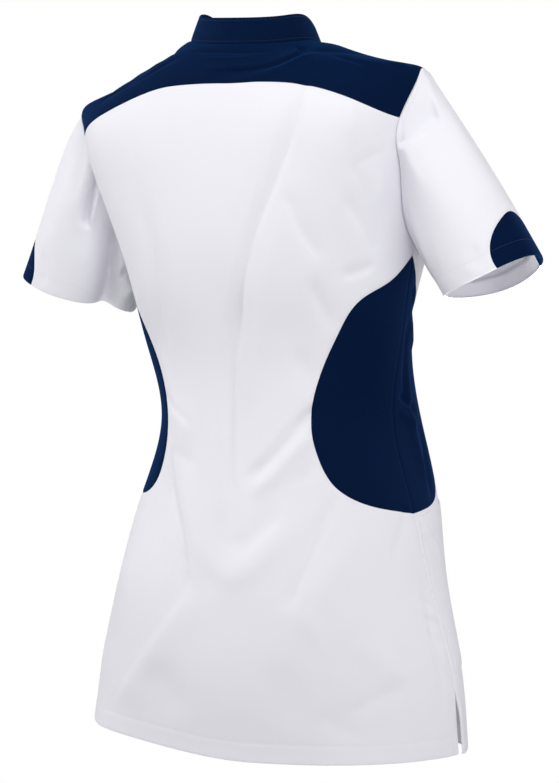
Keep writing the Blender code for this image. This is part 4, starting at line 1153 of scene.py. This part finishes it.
def make_cloth(pattern, node, finish, thickness):
    """A pattern piece as a thin shell in place of its solid, which it hides, built along its cut."""
    places, faces, cut = flat_mesh(pattern)
    outer, lean, direction, extra = cloth_surface(pattern, places, cut)
    points, shell_faces = shell(outer, lean, direction, thickness + extra, faces)
    if pattern.mirror[0] < 0:
        shell_faces = [face[::-1] for face in shell_faces]
    uv = np.vstack((places, places)) * pattern.lengths
    piece = new_piece(node + "_cloth", posed(points * pattern.mirror), shell_faces, finish, uv)
    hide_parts(node)


def stitch_places(pattern, run, kind, pitch):
    """Places of the stitches along one banded edge: before, at and after the middle of each.

    The line lies at the band's distance, on the side where the cloth is, and ends where it
    would cross another edge.
    """
    outline = outline_of(pattern)[:, :2] * pattern.lengths
    band = EDGE_KINDS[kind].band
    clearance = min(STITCH_CLEARANCE_SHARE * band, STITCH_CLEARANCE)
    aside = step_aside(pattern.surface, run) * band
    sides = [(run[:, :2] + way * aside) * pattern.lengths for way in (1, -1)]
    kept = [side[within(side, outline) & clear_of(side, outline, clearance)] for side in sides]
    row = max(kept, key=len)
    if len(row) < FEWEST_STITCH_ROWS:
        return None
    steps = np.hypot(*np.diff(row, axis=0).T)
    whole = np.insert(np.cumsum(np.where(steps > LONGEST_STITCH_GAP, 0, steps)), 0, 0)
    centre = (np.arange(int(whole[-1] / pitch)) + 0.5) * pitch
    found = [
        [np.interp(centre + shift, whole, row[:, axis]) for axis in (0, 1)]
        for shift in (-STITCH_HALF_STEP, 0, STITCH_HALF_STEP)
    ]
    return [np.stack(place, axis=1) / pattern.lengths for place in found]


def neighbours(sides):
    """Each corner of a ring with the next one round it."""
    return [(i, (i + 1) % sides) for i in range(sides)]


def stitch_mesh(centre, way, normal, length, radius):
    """Vertices and faces of many stitches: each a low spindle along its way."""
    sides = STITCH_SIDES
    across = np.cross(way, normal)
    angle = (np.arange(sides) * 2 * np.pi / sides)[None, :, None]
    ring = (across[:, None] * np.cos(angle) + normal[:, None] * np.sin(angle) * STITCH_FLATNESS) * radius
    start, *middle, end = STITCH_RINGS
    rings = [centre[:, None] + way[:, None] * s * length + ring * width for s, width in middle]
    tips = [(centre + way * s * length)[:, None] for s, _ in (start, end)]
    points = np.concatenate([tips[0], *rings, tips[1]], axis=1)
    faces = []
    for i, j in neighbours(sides):
        first, second, third = ((1 + k * sides + i, 1 + k * sides + j) for k in range(3))
        faces.append((0, first[1], first[0]))
        faces += [(*low, *high[::-1]) for low, high in ((first, second), (second, third))]
        faces.append((*third, 1 + 3 * sides))
    offsets = (np.arange(len(centre)) * points.shape[1]).tolist()
    every = [tuple(index + offset for index in face) for offset in offsets for face in faces]
    return points.reshape(-1, 3), every


def make_stitches(name, patterns, kinds, finish, settings):
    """The stitches along all edges of some kinds on some pattern pieces, as one piece."""
    all_points, all_faces, total = [], [], 0
    edges = [(pattern, run, kind) for pattern in patterns for run, kind in pattern.runs if kind in kinds]
    radius = settings.stitch_radius
    for pattern, run, kind in edges:
        if len(run) < FEWEST_STITCH_ROWS:
            continue
        found = stitch_places(pattern, run, kind, settings.stitch_pitch)
        if found is None:
            continue
        before, centre, after = (cloth_surface(pattern, places) for places in found)
        way = after[0] - before[0]
        way /= np.linalg.norm(way, axis=1, keepdims=True)
        middle = centre[0] + centre[2] * radius * STITCH_SEAT
        points, faces = stitch_mesh(middle, way, centre[2], settings.stitch_length, radius)
        if pattern.mirror[0] < 0:
            faces = [face[::-1] for face in faces]
        all_points.append(posed(points * pattern.mirror))
        all_faces += [tuple(index + total for index in face) for face in faces]
        total += len(points)
    new_piece(name, np.vstack(all_points), all_faces, finish, sharp=STITCH_SHARP)


def placket_lift(sign):
    """Lift of a front near its edge: outward on the lapping side, inward on the other."""

    def lift(places):
        return vent_lift(places) + sign * PLACKET_LIFT * smooth_rise(np.abs(places[:, 0]), *PLACKET_RISE)

    return lift


def vent_lift(places):
    """Lift beside the slits of the side vents: outward on the fronts and inward on the back."""
    past = (np.abs(places[:, 0]) - 1) * TURN_LENGTH
    near = np.exp(-((past / VENT_LIFT_REACH) ** 2)) * smooth_rise(VENT_TOP - places[:, 1], 0, VENT_LIFT_RISE)
    return np.where(past > 0, VENT_LIFT_FRONT, VENT_LIFT_BACK) * near


def pocket_lift(places):
    """Lift of a pocket off the front that it is sewn to."""
    return np.full(len(places), POCKET_OUT)


def mirrored(runs):
    """The same runs on the wearer's right, in the opposite order."""
    return [(other_side(run), kind) for run, kind in reversed(runs)]


def trunk_pattern(runs, step, lift=None):
    """A pattern piece that lies on the trunk."""
    return Pattern(runs, body, body_normals, np.array(TRUNK_LENGTHS), step, lift)


def trunk_patterns(settings):
    """Pattern pieces of the back, yoke, fronts and half-moons, by the names of their nodes."""
    top, bottom = MOON[0].height, MOON[-1].height
    seam_low = line((1.0, VENT_TOP), (1.0, bottom))
    seam_middle = line((1.0, bottom), (1.0, top))
    seam_high = line((1.0, top), (1.0, ARMPIT_LEVEL))
    vent_back, vent_front = vent_run(-1), vent_run(1)
    back_low = armhole_run(0.0, YOKE_BACK_NOTCH, ARMHOLE_LOW_STEPS)
    back_high = armhole_run(YOKE_BACK_NOTCH, SHOULDER_TIP, ARMHOLE_YOKE_STEPS)
    front_high = armhole_run(SHOULDER_TIP, YOKE_FRONT_NOTCH, ARMHOLE_YOKE_STEPS)
    front_low = armhole_run(YOKE_FRONT_NOTCH, 1.0, ARMHOLE_LOW_STEPS)
    yoke_back = yoke_run_back()
    yoke_front = line(armhole(YOKE_FRONT_NOTCH), (YOKE_FRONT_NECK_TURN, NECK_LEVEL))
    hem = hem_run(-vent_back[0, 0], vent_back[0, 0])

    def back_edge(side):
        return [
            (vent_back, "vent"), (seam_low, "seam"), (moon_edge("back_" + side), "seam"),
            (seam_high, "seam"), (back_low, "seam"),
        ]

    back = [(hem, "hem")] + back_edge("left") + [(yoke_back[::-1], "seam")] + mirrored(back_edge("right"))
    shoulder = [(back_high, "seam"), (front_high, "seam"), (yoke_front, "seam")]
    neck_back = neck_run(-YOKE_FRONT_NECK_TURN, YOKE_FRONT_NECK_TURN)
    yoke = [(yoke_back, "seam")] + shoulder + [(neck_back[::-1], "seam")] + mirrored(shoulder)
    front_edge = line((FRONT_EDGE, HEM_LEVEL), (FRONT_EDGE, NECK_LEVEL))
    front = [
        (hem_run(vent_front[0, 0], FRONT_EDGE), "hem"), (front_edge, "placket"),
        (neck_run(CENTRE_FRONT, FRONT_EDGE)[::-1], "seam"),
        (neck_run(YOKE_FRONT_NECK_TURN, CENTRE_FRONT)[::-1], "seam"),
        (yoke_front[::-1], "seam"), (front_low, "seam"), (seam_high[::-1], "seam"),
        (moon_edge("front")[::-1], "seam"), (seam_low[::-1], "seam"), (vent_front[::-1], "vent"),
    ]
    side_front = [(moon_edge("front"), "seam"), (seam_middle[::-1], "seam")]
    large, small = settings.trunk_step, settings.small_step
    patterns = {"back": trunk_pattern(back, large, vent_lift), "yoke": trunk_pattern(yoke, small)}
    for side, turned in (("left", list), ("right", mirrored)):
        lap = placket_lift(-1 if side == "left" else 1)
        side_back = [(seam_middle, "seam"), (moon_edge("back_" + side)[::-1], "seam")]
        patterns["front_" + side] = trunk_pattern(turned(front), large, lap)
        patterns["side_back_" + side] = trunk_pattern(turned(side_back), small)
        patterns["side_front_" + side] = trunk_pattern(turned(side_front), small)
        pocket = [(side_sign(side) * turn, level) for turn, level in POCKET_CORNERS]
        kinds = ("mouth", "patch", "patch", "patch")
        runs = [(line(a, b), kind) for a, b, kind in zip(pocket, pocket[1:] + pocket[:1], kinds)]
        patterns["pocket_" + side] = trunk_pattern(runs, large, pocket_lift)
    return patterns


def side_sign(side):
    """1 on the wearer's left and -1 on the right."""
    return 1 if side == "left" else -1


def collar_pattern(settings):
    """Pattern piece of the stand collar, open at centre front."""
    end = CENTRE_FRONT - COLLAR_FRONT_GAP
    lower = neck_run(-end, end)
    upper = rows(np.stack((lower[::-1, 0], np.ones(len(lower))), axis=1))
    lower[:, 1] = 0
    runs = [
        (lower, "neck"), (line((end, 0.0), (end, 1.0), COLLAR_LENGTHS), "rim"), (upper, "rim"),
        (line((-end, 1.0), (-end, 0.0), COLLAR_LENGTHS), "rim"),
    ]
    return Pattern(runs, collar, collar_normals, np.array(COLLAR_LENGTHS), settings.small_step)


def sleeve_patterns(side, settings):
    """Pattern pieces of one sleeve and of the half-round piece let into its hem."""
    lengths = SLEEVE_LENGTHS
    notches = (0.0, YOKE_BACK_NOTCH, SHOULDER_TIP, YOKE_FRONT_NOTCH, 1.0)
    steps = (ARMHOLE_LOW_STEPS, ARMHOLE_YOKE_STEPS, ARMHOLE_YOKE_STEPS, ARMHOLE_LOW_STEPS)
    head = joined(*(head_run(*run) for run in zip(notches, notches[1:], steps)))
    angle = np.linspace(0, np.pi, SLEEVE_MOON_STEPS + 1)
    moon = rows(np.stack((
        SLEEVE_MOON_CENTRE - SLEEVE_MOON_HALF_WIDTH * np.cos(angle),
        1 - SLEEVE_MOON_HEIGHT * np.sin(angle) ** SLEEVE_MOON_ROUNDNESS,
    ), axis=1))
    left, right = moon[0, 0], moon[-1, 0]
    sleeve_runs = [
        (head, "head"), (line((1.0, 0.0), (1.0, 1.0), lengths), "seam"),
        (line((1.0, 1.0), (right, 1.0), lengths), "cuff"), (moon[::-1], "seam"),
        (line((left, 1.0), (0.0, 1.0), lengths), "cuff"), (line((0.0, 1.0), (0.0, 0.0), lengths), "seam"),
    ]
    moon_runs = [(moon, "seam"), (line((right, 1.0), (left, 1.0), lengths), "cuff")]
    surface, outward = sleeve_of(side)
    mirror = np.array((side_sign(side), 1, 1))
    return [
        Pattern(runs, surface, outward, np.array(lengths), settings.small_step, None, mirror)
        for runs in (sleeve_runs, moon_runs)
    ]


# Materials
def link(tree, start, end):
    """Joins one node's output to another's input."""
    tree.links.new(start, end)


def add_math(tree, operation, *values):
    """A math node whose inputs are numbers or outputs of other nodes."""
    node = tree.nodes.new("ShaderNodeMath")
    node.operation = operation
    for socket, value in zip(node.inputs, values):
        if isinstance(value, bpy.types.NodeSocket):
            link(tree, value, socket)
        else:
            socket.default_value = value
    return node.outputs[0]


def weighted_sum(tree, start, pairs):
    """A number plus some outputs of nodes, each times its weight."""
    total = start
    for output, weight in pairs:
        total = add_math(tree, "MULTIPLY_ADD", output, weight, total)
    return total


def noise_value(tree, place, scale, detail=NOISE_DETAIL):
    """The value of a noise at a place, which another node gives."""
    noise = tree.nodes.new("ShaderNodeTexNoise")
    noise.inputs["Scale"].default_value = scale
    noise.inputs["Detail"].default_value = detail
    link(tree, place, noise.inputs["Vector"])
    return noise.outputs[0]


def bumped_normal(tree, height, strength, depth, normal=None):
    """The normal after a bump of some depth in metres, on top of another one if that is given."""
    bump = tree.nodes.new("ShaderNodeBump")
    bump.inputs["Strength"].default_value = strength
    bump.inputs["Distance"].default_value = depth
    link(tree, height, bump.inputs["Height"])
    if normal is not None:
        link(tree, normal, bump.inputs["Normal"])
    return bump.outputs[0]


def new_group(name, place, values):
    """A new node group, its input for a place, and its output node with sockets for some values."""
    group = bpy.data.node_groups.new(name, "ShaderNodeTree")
    group.interface.new_socket(place, in_out="INPUT", socket_type="NodeSocketVector")
    for value in values:
        group.interface.new_socket(value, in_out="OUTPUT", socket_type="NodeSocketFloat")
    given = group.nodes.new("NodeGroupInput")
    out = group.nodes.new("NodeGroupOutput")
    return group, given, out


def weave_group():
    """Node group for twill: fine diagonal ribs of yarn, broken up by an uneven yarn.

    The height is a sine across the diagonal, with a second finer sine along it, and a noise.
    """
    group, given, out = new_group("twill_weave", "Cloth Place", ("Height", "Tone"))
    pitch = group.interface.new_socket("Rib Pitch", in_out="INPUT", socket_type="NodeSocketFloat")
    pitch.default_value = TWILL_PITCH
    split = group.nodes.new("ShaderNodeSeparateXYZ")
    link(group, given.outputs["Cloth Place"], split.inputs[0])
    waves = []
    for operation, turns in (("ADD", 2 * np.pi), ("SUBTRACT", 4 * np.pi)):
        diagonal = add_math(group, operation, split.outputs[0], split.outputs[1])
        ribs = add_math(group, "DIVIDE", diagonal, given.outputs["Rib Pitch"])
        waves.append(add_math(group, "SINE", add_math(group, "MULTIPLY", ribs, turns)))
    slub = noise_value(group, given.outputs["Cloth Place"], YARN_SCALE)
    height = weighted_sum(group, TWILL_MIDDLE, zip((*waves, slub), TWILL_WEIGHTS))
    link(group, height, out.inputs["Height"])
    link(group, slub, out.inputs["Tone"])
    return group


def wear_group():
    """Node group for the slight unevenness of washed cloth: soft patches and small crumples."""
    group, given, out = new_group("washed_cloth", "Place", ("Patch", "Crumple"))
    place = given.outputs["Place"]
    link(group, noise_value(group, place, PATCH_SCALE), out.inputs["Patch"])
    link(group, noise_value(group, place, CRUMPLE_SCALE, CRUMPLE_DETAIL), out.inputs["Crumple"])
    return group


def principled(name):
    """A new material and its Principled shader."""
    made = bpy.data.materials.new(name)
    made.use_nodes = True
    return made, made.node_tree, made.node_tree.nodes["Principled BSDF"]


def group_node(tree, group):
    """A node that holds one of the shared groups."""
    node = tree.nodes.new("ShaderNodeGroup")
    node.node_tree = group
    return node


def tone_of(colour, factor):
    """A colour times a factor, with its alpha."""
    return (*(min(c * factor, 1.0) for c in colour), 1.0)


def cloth_finish(name, colour, look):
    """Woven cotton mix: a little uneven in tone, matt, with a low twill and fine crumples."""
    made, tree, shader = principled(name)
    groups = bpy.data.node_groups
    weave = group_node(tree, groups.get("twill_weave") or weave_group())
    wear = group_node(tree, groups.get("washed_cloth") or wear_group())
    place = tree.nodes.new("ShaderNodeUVMap")
    place.uv_map = "cloth"
    spot = tree.nodes.new("ShaderNodeTexCoord")
    link(tree, place.outputs[0], weave.inputs["Cloth Place"])
    link(tree, spot.outputs["Object"], wear.inputs["Place"])
    patch, yarn = wear.outputs["Patch"], weave.outputs["Tone"]
    mix = tree.nodes.new("ShaderNodeMix")
    mix.data_type = "RGBA"
    tone = weighted_sum(tree, 0.0, zip((patch, yarn), TONE_WEIGHTS))
    link(tree, tone, mix.inputs["Factor"])
    sockets = {socket.identifier: socket for socket in (*mix.inputs, *mix.outputs)}
    sockets["A_Color"].default_value = tone_of(colour, 1 - look.contrast)
    sockets["B_Color"].default_value = tone_of(colour, 1 + look.contrast)
    link(tree, sockets["Result_Color"], shader.inputs["Base Color"])
    least, patches = CLOTH_ROUGHNESS
    link(tree, weighted_sum(tree, least, [(patch, patches)]), shader.inputs["Roughness"])
    fine = bumped_normal(tree, weave.outputs["Height"], look.weave, TWILL_DEPTH)
    soft = bumped_normal(tree, wear.outputs["Crumple"], look.crumples, CRUMPLE_DEPTH, fine)
    link(tree, soft, shader.inputs["Normal"])
    shader.inputs["Sheen Weight"].default_value = look.sheen
    shader.inputs["Sheen Roughness"].default_value = SHEEN_ROUGHNESS
    shader.inputs["Sheen Tint"].default_value = (*look.sheen_tint, 1.0)
    shader.inputs["Specular IOR Level"].default_value = look.shine
    return made


def plain_finish(name, colour, look):
    """Thread or moulded plastic: one colour with a faint grain in its tone and surface."""
    made, tree, shader = principled(name)
    spot = tree.nodes.new("ShaderNodeTexCoord")
    grain = noise_value(tree, spot.outputs["Object"], look.grain_scale)
    ramp = tree.nodes.new("ShaderNodeValToRGB")
    for element, factor in zip(ramp.color_ramp.elements, GRAIN_TONES):
        element.color = tone_of(colour, factor)
    link(tree, grain, ramp.inputs[0])
    link(tree, ramp.outputs[0], shader.inputs["Base Color"])
    link(tree, bumped_normal(tree, grain, look.grain, GRAIN_DEPTH), shader.inputs["Normal"])
    shader.inputs["Roughness"].default_value = look.roughness
    shader.inputs["Coat Weight"].default_value = look.coat
    return made


def finish(name, settings):
    """One of the finishes by its name, made the first time it is asked for."""
    found = bpy.data.materials.get(name)
    if found is not None:
        return found
    if name == "cap_plastic":
        return plain_finish(name, settings.stud, CAP_LOOK)
    dye, kind = name.split("_")
    colour, look = getattr(settings, dye), CLOTH_LOOKS[dye]
    if kind == "twill":
        return cloth_finish(name, colour, look)
    # The white thread's colour is made a little darker than its cloth: painted shade
    return plain_finish(name, [c * look.thread_tone for c in colour], THREAD_LOOK)


def sew(patterns, colour, context):
    """Makes the cloth of some pattern pieces, given by the names of their nodes."""
    settings = context.scene.jacket
    twill = finish(colour + "_twill", settings)
    for node, pattern in patterns.items():
        thickness = settings.collar_cloth if node == "collar" else settings.cloth
        make_cloth(pattern, node, twill, thickness)


def stitch(name, patterns, kinds, colour, context):
    """Makes the stitches of some pattern pieces in their own thread."""
    settings = context.scene.jacket
    thread = finish(colour + "_thread", settings)
    make_stitches(name, patterns, kinds, thread, settings)


def length_setting(name, description, default, least, digits=4):
    """A property for a length in metres."""
    return bpy.props.FloatProperty(
        name=name, description=description, default=default, min=least,
        unit="LENGTH", subtype="DISTANCE", precision=digits,
    )


def colour_setting(name, description, default):
    """A property for a colour."""
    return bpy.props.FloatVectorProperty(
        name=name, description=description, default=default, min=0.0, max=1.0, size=3, subtype="COLOR"
    )


def power_setting(name, place, default):
    """A property for the power of a light, which stands or shines at a place given in words."""
    return bpy.props.FloatProperty(
        name=name, description="Power of the " + place, default=default, min=0.0, unit="POWER"
    )


class JacketSettings(bpy.types.PropertyGroup):
    """Sizes and colours of the jacket."""

    trunk_step: length_setting("Trunk Mesh", "Distance between points of the large pieces", 0.0031, 0.002)
    small_step: length_setting("Small Mesh", "Distance between points of the small pieces", 0.0025, 0.0015)
    cloth: length_setting("Cloth", "Thickness of a single layer of the cloth", 0.0009, 0.0004)
    collar_cloth: length_setting("Collar", "Thickness of the stand collar", 0.0018, 0.0008)
    stitch_length: length_setting("Stitch", "Length of the thread that shows in one stitch", 0.0023, 0.001)
    stitch_pitch: length_setting("Stitch Pitch", "Distance from one stitch to the next", 0.0030, 0.0015)
    stitch_radius: length_setting("Thread", "Half the thickness of the thread", 0.00022, 0.0001, 5)
    white: colour_setting("White Cloth", "Colour of the white cloth", (0.80, 0.793, 0.845))
    navy: colour_setting("Navy Cloth", "Colour of the navy cloth", (0.0013, 0.0080, 0.0345))
    stud: colour_setting("Studs", "Colour of the stud caps", (0.72, 0.72, 0.74))


class StageSettings(bpy.types.PropertyGroup):
    """Floor and lights."""

    floor_level: bpy.props.FloatProperty(
        name="Floor", description="Height of the floor below the shoulders",
        default=-1.48, unit="LENGTH", subtype="DISTANCE",
    )
    front_light: power_setting("Front Light", "soft light beside the camera", 10.4)
    right_light: power_setting("Right Light", "light behind the picture's right side", 17.0)
    low_light: power_setting("Low Light", "low light at the picture's right", 12.5)
    left_light: power_setting("Left Light", "light at the picture's left", 11.0)
    high_light: power_setting("High Light", "high light at the picture's left", 10.0)
    crown_light: power_setting("Crown Light", "light above the camera", 8.0)
    cuff_light: power_setting("Cuff Light", "small light that looks up into the right cuff", 0.11)
    left_sleeve_light: power_setting(
        "Left Sleeve Light", "light on the left sleeve's side beside the back", 1.0
    )
    right_sleeve_light: power_setting(
        "Right Sleeve Light", "light on the right sleeve's side beside the back", 0.5
    )
    rim_light: power_setting("Rim Light", "light behind the picture's left side", 12.0)
    air: bpy.props.FloatProperty(
        name="Air", description="Strength of the even light from all round",
        default=0.18, min=0.0, subtype="FACTOR",
    )


class JACKET_OT_trunk(bpy.types.Operator):
    """Makes the back and both fronts with their stitches"""

    bl_idname = "jacket.trunk"
    bl_label = "Back and Fronts"

    def execute(self, context):
        patterns = trunk_patterns(context.scene.jacket)
        white = {node: patterns[node] for node in ("back", "front_left", "front_right")}
        sew(white, "white", context)
        stitch("trunk_stitches", white.values(), ("hem", "vent", "placket"), "white", context)
        return {"FINISHED"}


class JACKET_OT_yoke(bpy.types.Operator):
    """Makes the yoke over both shoulders"""

    bl_idname = "jacket.yoke"
    bl_label = "Yoke"

    def execute(self, context):
        sew({"yoke": trunk_patterns(context.scene.jacket)["yoke"]}, "navy", context)
        return {"FINISHED"}


class JACKET_OT_moons(bpy.types.Operator):
    """Makes the four pieces of the half-moons at the waist"""

    bl_idname = "jacket.moons"
    bl_label = "Half-Moons"

    def execute(self, context):
        patterns = trunk_patterns(context.scene.jacket)
        sew({node: made for node, made in patterns.items() if node.startswith("side_")}, "navy", context)
        return {"FINISHED"}


class JACKET_OT_collar(bpy.types.Operator):
    """Makes the stand collar and its two rows of stitches"""

    bl_idname = "jacket.collar"
    bl_label = "Collar"

    def execute(self, context):
        pattern = collar_pattern(context.scene.jacket)
        sew({"collar": pattern}, "navy", context)
        stitch("collar_stitches", [pattern], ("neck", "rim"), "navy", context)
        return {"FINISHED"}


class JACKET_OT_sleeves(bpy.types.Operator):
    """Makes both sleeves and the half-round pieces in their hems"""

    bl_idname = "jacket.sleeves"
    bl_label = "Sleeves"

    def execute(self, context):
        for side in ("left", "right"):
            body_of_sleeve, moon = sleeve_patterns(side, context.scene.jacket)
            sew({"sleeve_" + side: body_of_sleeve}, "white", context)
            sew({"sleeve_moon_" + side: moon}, "navy", context)
            stitch("sleeve_stitches_" + side, [body_of_sleeve], ("head", "cuff"), "white", context)
            stitch("moon_stitches_" + side, [moon], ("cuff",), "navy", context)
        return {"FINISHED"}


class JACKET_OT_pockets(bpy.types.Operator):
    """Makes the patch pockets on the fronts"""

    bl_idname = "jacket.pockets"
    bl_label = "Pockets"

    def execute(self, context):
        patterns = trunk_patterns(context.scene.jacket)
        pockets = {node: made for node, made in patterns.items() if node.startswith("pocket_")}
        sew(pockets, "white", context)
        stitch("pocket_stitches", pockets.values(), ("mouth", "patch"), "white", context)
        return {"FINISHED"}


class JACKET_OT_studs(bpy.types.Operator):
    """Makes the caps of the press studs down the front edge"""

    bl_idname = "jacket.studs"
    bl_label = "Studs"

    def execute(self, context):
        cap = finish("cap_plastic", context.scene.jacket)
        for number in range(STUD_COUNT):
            level = STUD_TOP - number * STUD_PITCH
            normal = body_normals(CENTRE_FRONT, level)
            centre = body(CENTRE_FRONT, level) + normal * (PLACKET_LIFT + STUD_SEAT)
            points, faces = turned_cap(centre, normal)
            name = f"stud_{number + 1}"
            piece = new_piece(name + "_cap", points, faces, cap, sharp=STUD_SHARP)
            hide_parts(name)
        return {"FINISHED"}


def turned_cap(centre, normal, sides=40):
    """Vertices and faces of a dished cap: its profile turned round its own axis.

    The profile is a table of radius and height in metres, from the middle of the dish over the
    rounded rim to the foot.
    """
    profile = np.array(STUD_PROFILE) * (STUD_RADIUS, STUD_HEIGHT)
    across = np.cross(normal, (1.0, 0.0, 0.0))
    across /= np.linalg.norm(across)
    other = np.cross(normal, across)
    angle = np.arange(sides) * 2 * np.pi / sides
    round_way = np.outer(np.cos(angle), across) + np.outer(np.sin(angle), other)
    rings = centre + profile[1:, None, :1] * round_way + profile[1:, None, 1:] * normal
    points = np.vstack((centre + profile[0, 1] * normal, rings.reshape(-1, 3), centre))
    around = neighbours(sides)
    faces = [(0, 1 + a, 1 + b) for a, b in around]
    for ring in range(len(profile) - 2):
        low, high = 1 + ring * sides, 1 + (ring + 1) * sides
        faces += [(low + a, high + a, high + b, low + b) for a, b in around]
    last, foot = 1 + (len(profile) - 2) * sides, len(points) - 1
    faces += [(last + a, foot, last + b) for a, b in around]
    return points, faces


def add_lamp(name, power, size, middle, away, distance):
    """A soft square light that looks at a middle from a distance along a direction away from it."""
    lamp = bpy.data.lights.new(name, "AREA")
    lamp.energy = power
    lamp.size = size
    made = bpy.data.objects.new(name, lamp)
    made.location = middle + away * distance
    made.rotation_euler = away.to_track_quat("Z", "Y").to_euler()
    bpy.context.scene.collection.objects.link(made)
    return made


def place_lamp(lamp, stage, aim_x=0.0):
    """One lamp of the tables, with the power that the stage's settings give it."""
    a, e = np.radians((CAMERA_AZIMUTH + lamp.turn, lamp.rise))
    away = Vector((np.sin(a) * np.cos(e), -np.cos(a) * np.cos(e), np.sin(e)))
    power = getattr(stage, lamp.name + "_light")
    middle = Vector((aim_x, 0.0, lamp.aim_height))
    return add_lamp("light_" + lamp.name, power, lamp.size, middle, away, lamp.distance)


def light_sleeve_only(made, side):
    """Keeps a lamp's light to one sleeve and the half-round piece in its hem."""
    lit = bpy.data.collections.new(f"lit_by_{made.name}")
    for name in (f"sleeve_{side}_cloth", f"sleeve_moon_{side}_cloth"):
        if name not in bpy.data.objects:
            raise RuntimeError(f"the stage needs {name}, which isn't made yet")
        lit.objects.link(bpy.data.objects[name])
    made.light_linking.receiver_collection = lit
    return lit


def make_cuff_light(power):
    """A small narrow light on the line of the right sleeve, which only looks up into its cuff."""
    cuff_middle = Vector(CUFF_CENTRE) * Vector((-1, 1, 1))
    root = Vector(body(*armhole_notches().T).mean(axis=0)) * Vector((-1, 1, 1))
    away = (cuff_middle - root).normalized()
    made = add_lamp("light_cuff", power, CUFF_LIGHT_SIZE, cuff_middle, away, CUFF_LIGHT_DISTANCE)
    made.data.spread = CUFF_LIGHT_SPREAD
    made.visible_camera = False
    light_sleeve_only(made, "right")


def make_sleeve_light(side, stage):
    """The light on one sleeve's side beside the back, which nothing but that sleeve can shade."""
    made = place_lamp(SLEEVE_LAMPS[side], stage, SLEEVE_LAMP_AIM_X * side_sign(side))
    made.light_linking.blocker_collection = light_sleeve_only(made, side)


def make_floor(level):
    """A wide pale disc far below the jacket."""
    sides = FLOOR_SIDES
    angle = np.arange(sides) * 2 * np.pi / sides
    circle = np.stack((np.cos(angle), np.sin(angle)), axis=1)
    rings = [np.insert(radius * circle, 2, level, axis=1) for radius in FLOOR_RADII]
    points = np.vstack([[(0.0, 0.0, level)], *rings])
    around = neighbours(sides)
    faces = [(0, 1 + i, 1 + j) for i, j in around]
    faces += [(1 + i, 1 + sides + i, 1 + sides + j, 1 + j) for i, j in around]
    mesh = bpy.data.meshes.new("floor")
    mesh.from_pydata(points.tolist(), [], faces)
    pale = plain_finish("pale_floor", FLOOR_COLOUR, FLOOR_LOOK)
    tree = pale.node_tree
    shader = tree.nodes["Principled BSDF"]
    seen = tree.nodes.new("ShaderNodeLightPath")
    link(tree, seen.outputs["Is Camera Ray"], shader.inputs["Emission Color"])
    shader.inputs["Emission Strength"].default_value = FLOOR_GLOW
    mesh.materials.append(pale)
    floor = bpy.data.objects.new("floor", mesh)
    bpy.context.scene.collection.objects.link(floor)


def make_air(strength):
    """Even light from all round, seen as plain white behind the jacket."""
    world = bpy.data.worlds.new("air")
    world.use_nodes = True
    tree = world.node_tree
    back = tree.nodes["Background"]
    back.inputs["Color"].default_value = AIR_COLOUR
    back.inputs["Strength"].default_value = strength
    white = tree.nodes.new("ShaderNodeBackground")
    white.inputs["Color"].default_value = AIR_COLOUR
    seen = tree.nodes.new("ShaderNodeLightPath")
    mix = tree.nodes.new("ShaderNodeMixShader")
    link(tree, seen.outputs["Is Camera Ray"], mix.inputs[0])
    link(tree, back.outputs[0], mix.inputs[1])
    link(tree, white.outputs[0], mix.inputs[2])
    link(tree, mix.outputs[0], tree.nodes["World Output"].inputs[0])
    bpy.context.scene.world = world


class JACKET_OT_stage(bpy.types.Operator):
    """Makes the floor, the lights and the camera"""

    bl_idname = "jacket.stage"
    bl_label = "Stage"

    def execute(self, context):
        stage = context.scene.jacket_stage
        make_floor(stage.floor_level)
        make_air(stage.air)
        for lamp in LAMPS:
            place_lamp(lamp, stage)
        make_cuff_light(stage.cuff_light)
        for side in SLEEVE_LAMPS:
            make_sleeve_light(side, stage)
        lens = bpy.data.cameras.new("camera")
        lens.sensor_width = CAMERA_SENSOR
        lens.lens = CAMERA_LENS
        camera = bpy.data.objects.new("camera", lens)
        camera.location = CAMERA_PLACE
        camera.rotation_euler = np.radians((90.0, 0.0, CAMERA_AZIMUTH))
        context.scene.collection.objects.link(camera)
        context.scene.camera = camera
        context.scene.view_settings.view_transform = "Standard"
        return {"FINISHED"}


class JACKET_PT_panel(bpy.types.Panel):
    """Lists what makes the jacket and its stage"""

    bl_idname = "JACKET_PT_panel"
    bl_label = "Medical Jacket"
    bl_space_type = "VIEW_3D"
    bl_region_type = "UI"
    bl_category = "Jacket"

    def draw(self, context):
        for group in (context.scene.jacket, context.scene.jacket_stage):
            box = self.layout.box()
            for name in group.bl_rna.properties.keys():
                if name not in ("rna_type", "name"):
                    box.prop(group, name)
        for operator in OPERATORS:
            self.layout.operator(operator.bl_idname)


OPERATORS = (
    JACKET_OT_trunk, JACKET_OT_yoke, JACKET_OT_moons, JACKET_OT_collar,
    JACKET_OT_sleeves, JACKET_OT_pockets, JACKET_OT_studs, JACKET_OT_stage,
)
CLASSES = (JacketSettings, StageSettings, *OPERATORS, JACKET_PT_panel)


def register():
    for made in CLASSES:
        bpy.utils.register_class(made)
    bpy.types.Scene.jacket = bpy.props.PointerProperty(type=JacketSettings)
    bpy.types.Scene.jacket_stage = bpy.props.PointerProperty(type=StageSettings)


def unregister():
    del bpy.types.Scene.jacket_stage
    del bpy.types.Scene.jacket
    for made in reversed(CLASSES):
        bpy.utils.unregister_class(made)


def main():
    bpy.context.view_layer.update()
    register()
    bpy.ops.jacket.trunk()
    bpy.ops.jacket.yoke()
    bpy.ops.jacket.moons()
    bpy.ops.jacket.collar()
    bpy.ops.jacket.sleeves()
    bpy.ops.jacket.pockets()
    bpy.ops.jacket.studs()
    bpy.ops.jacket.stage()


if __name__ == "__main__":
    main()
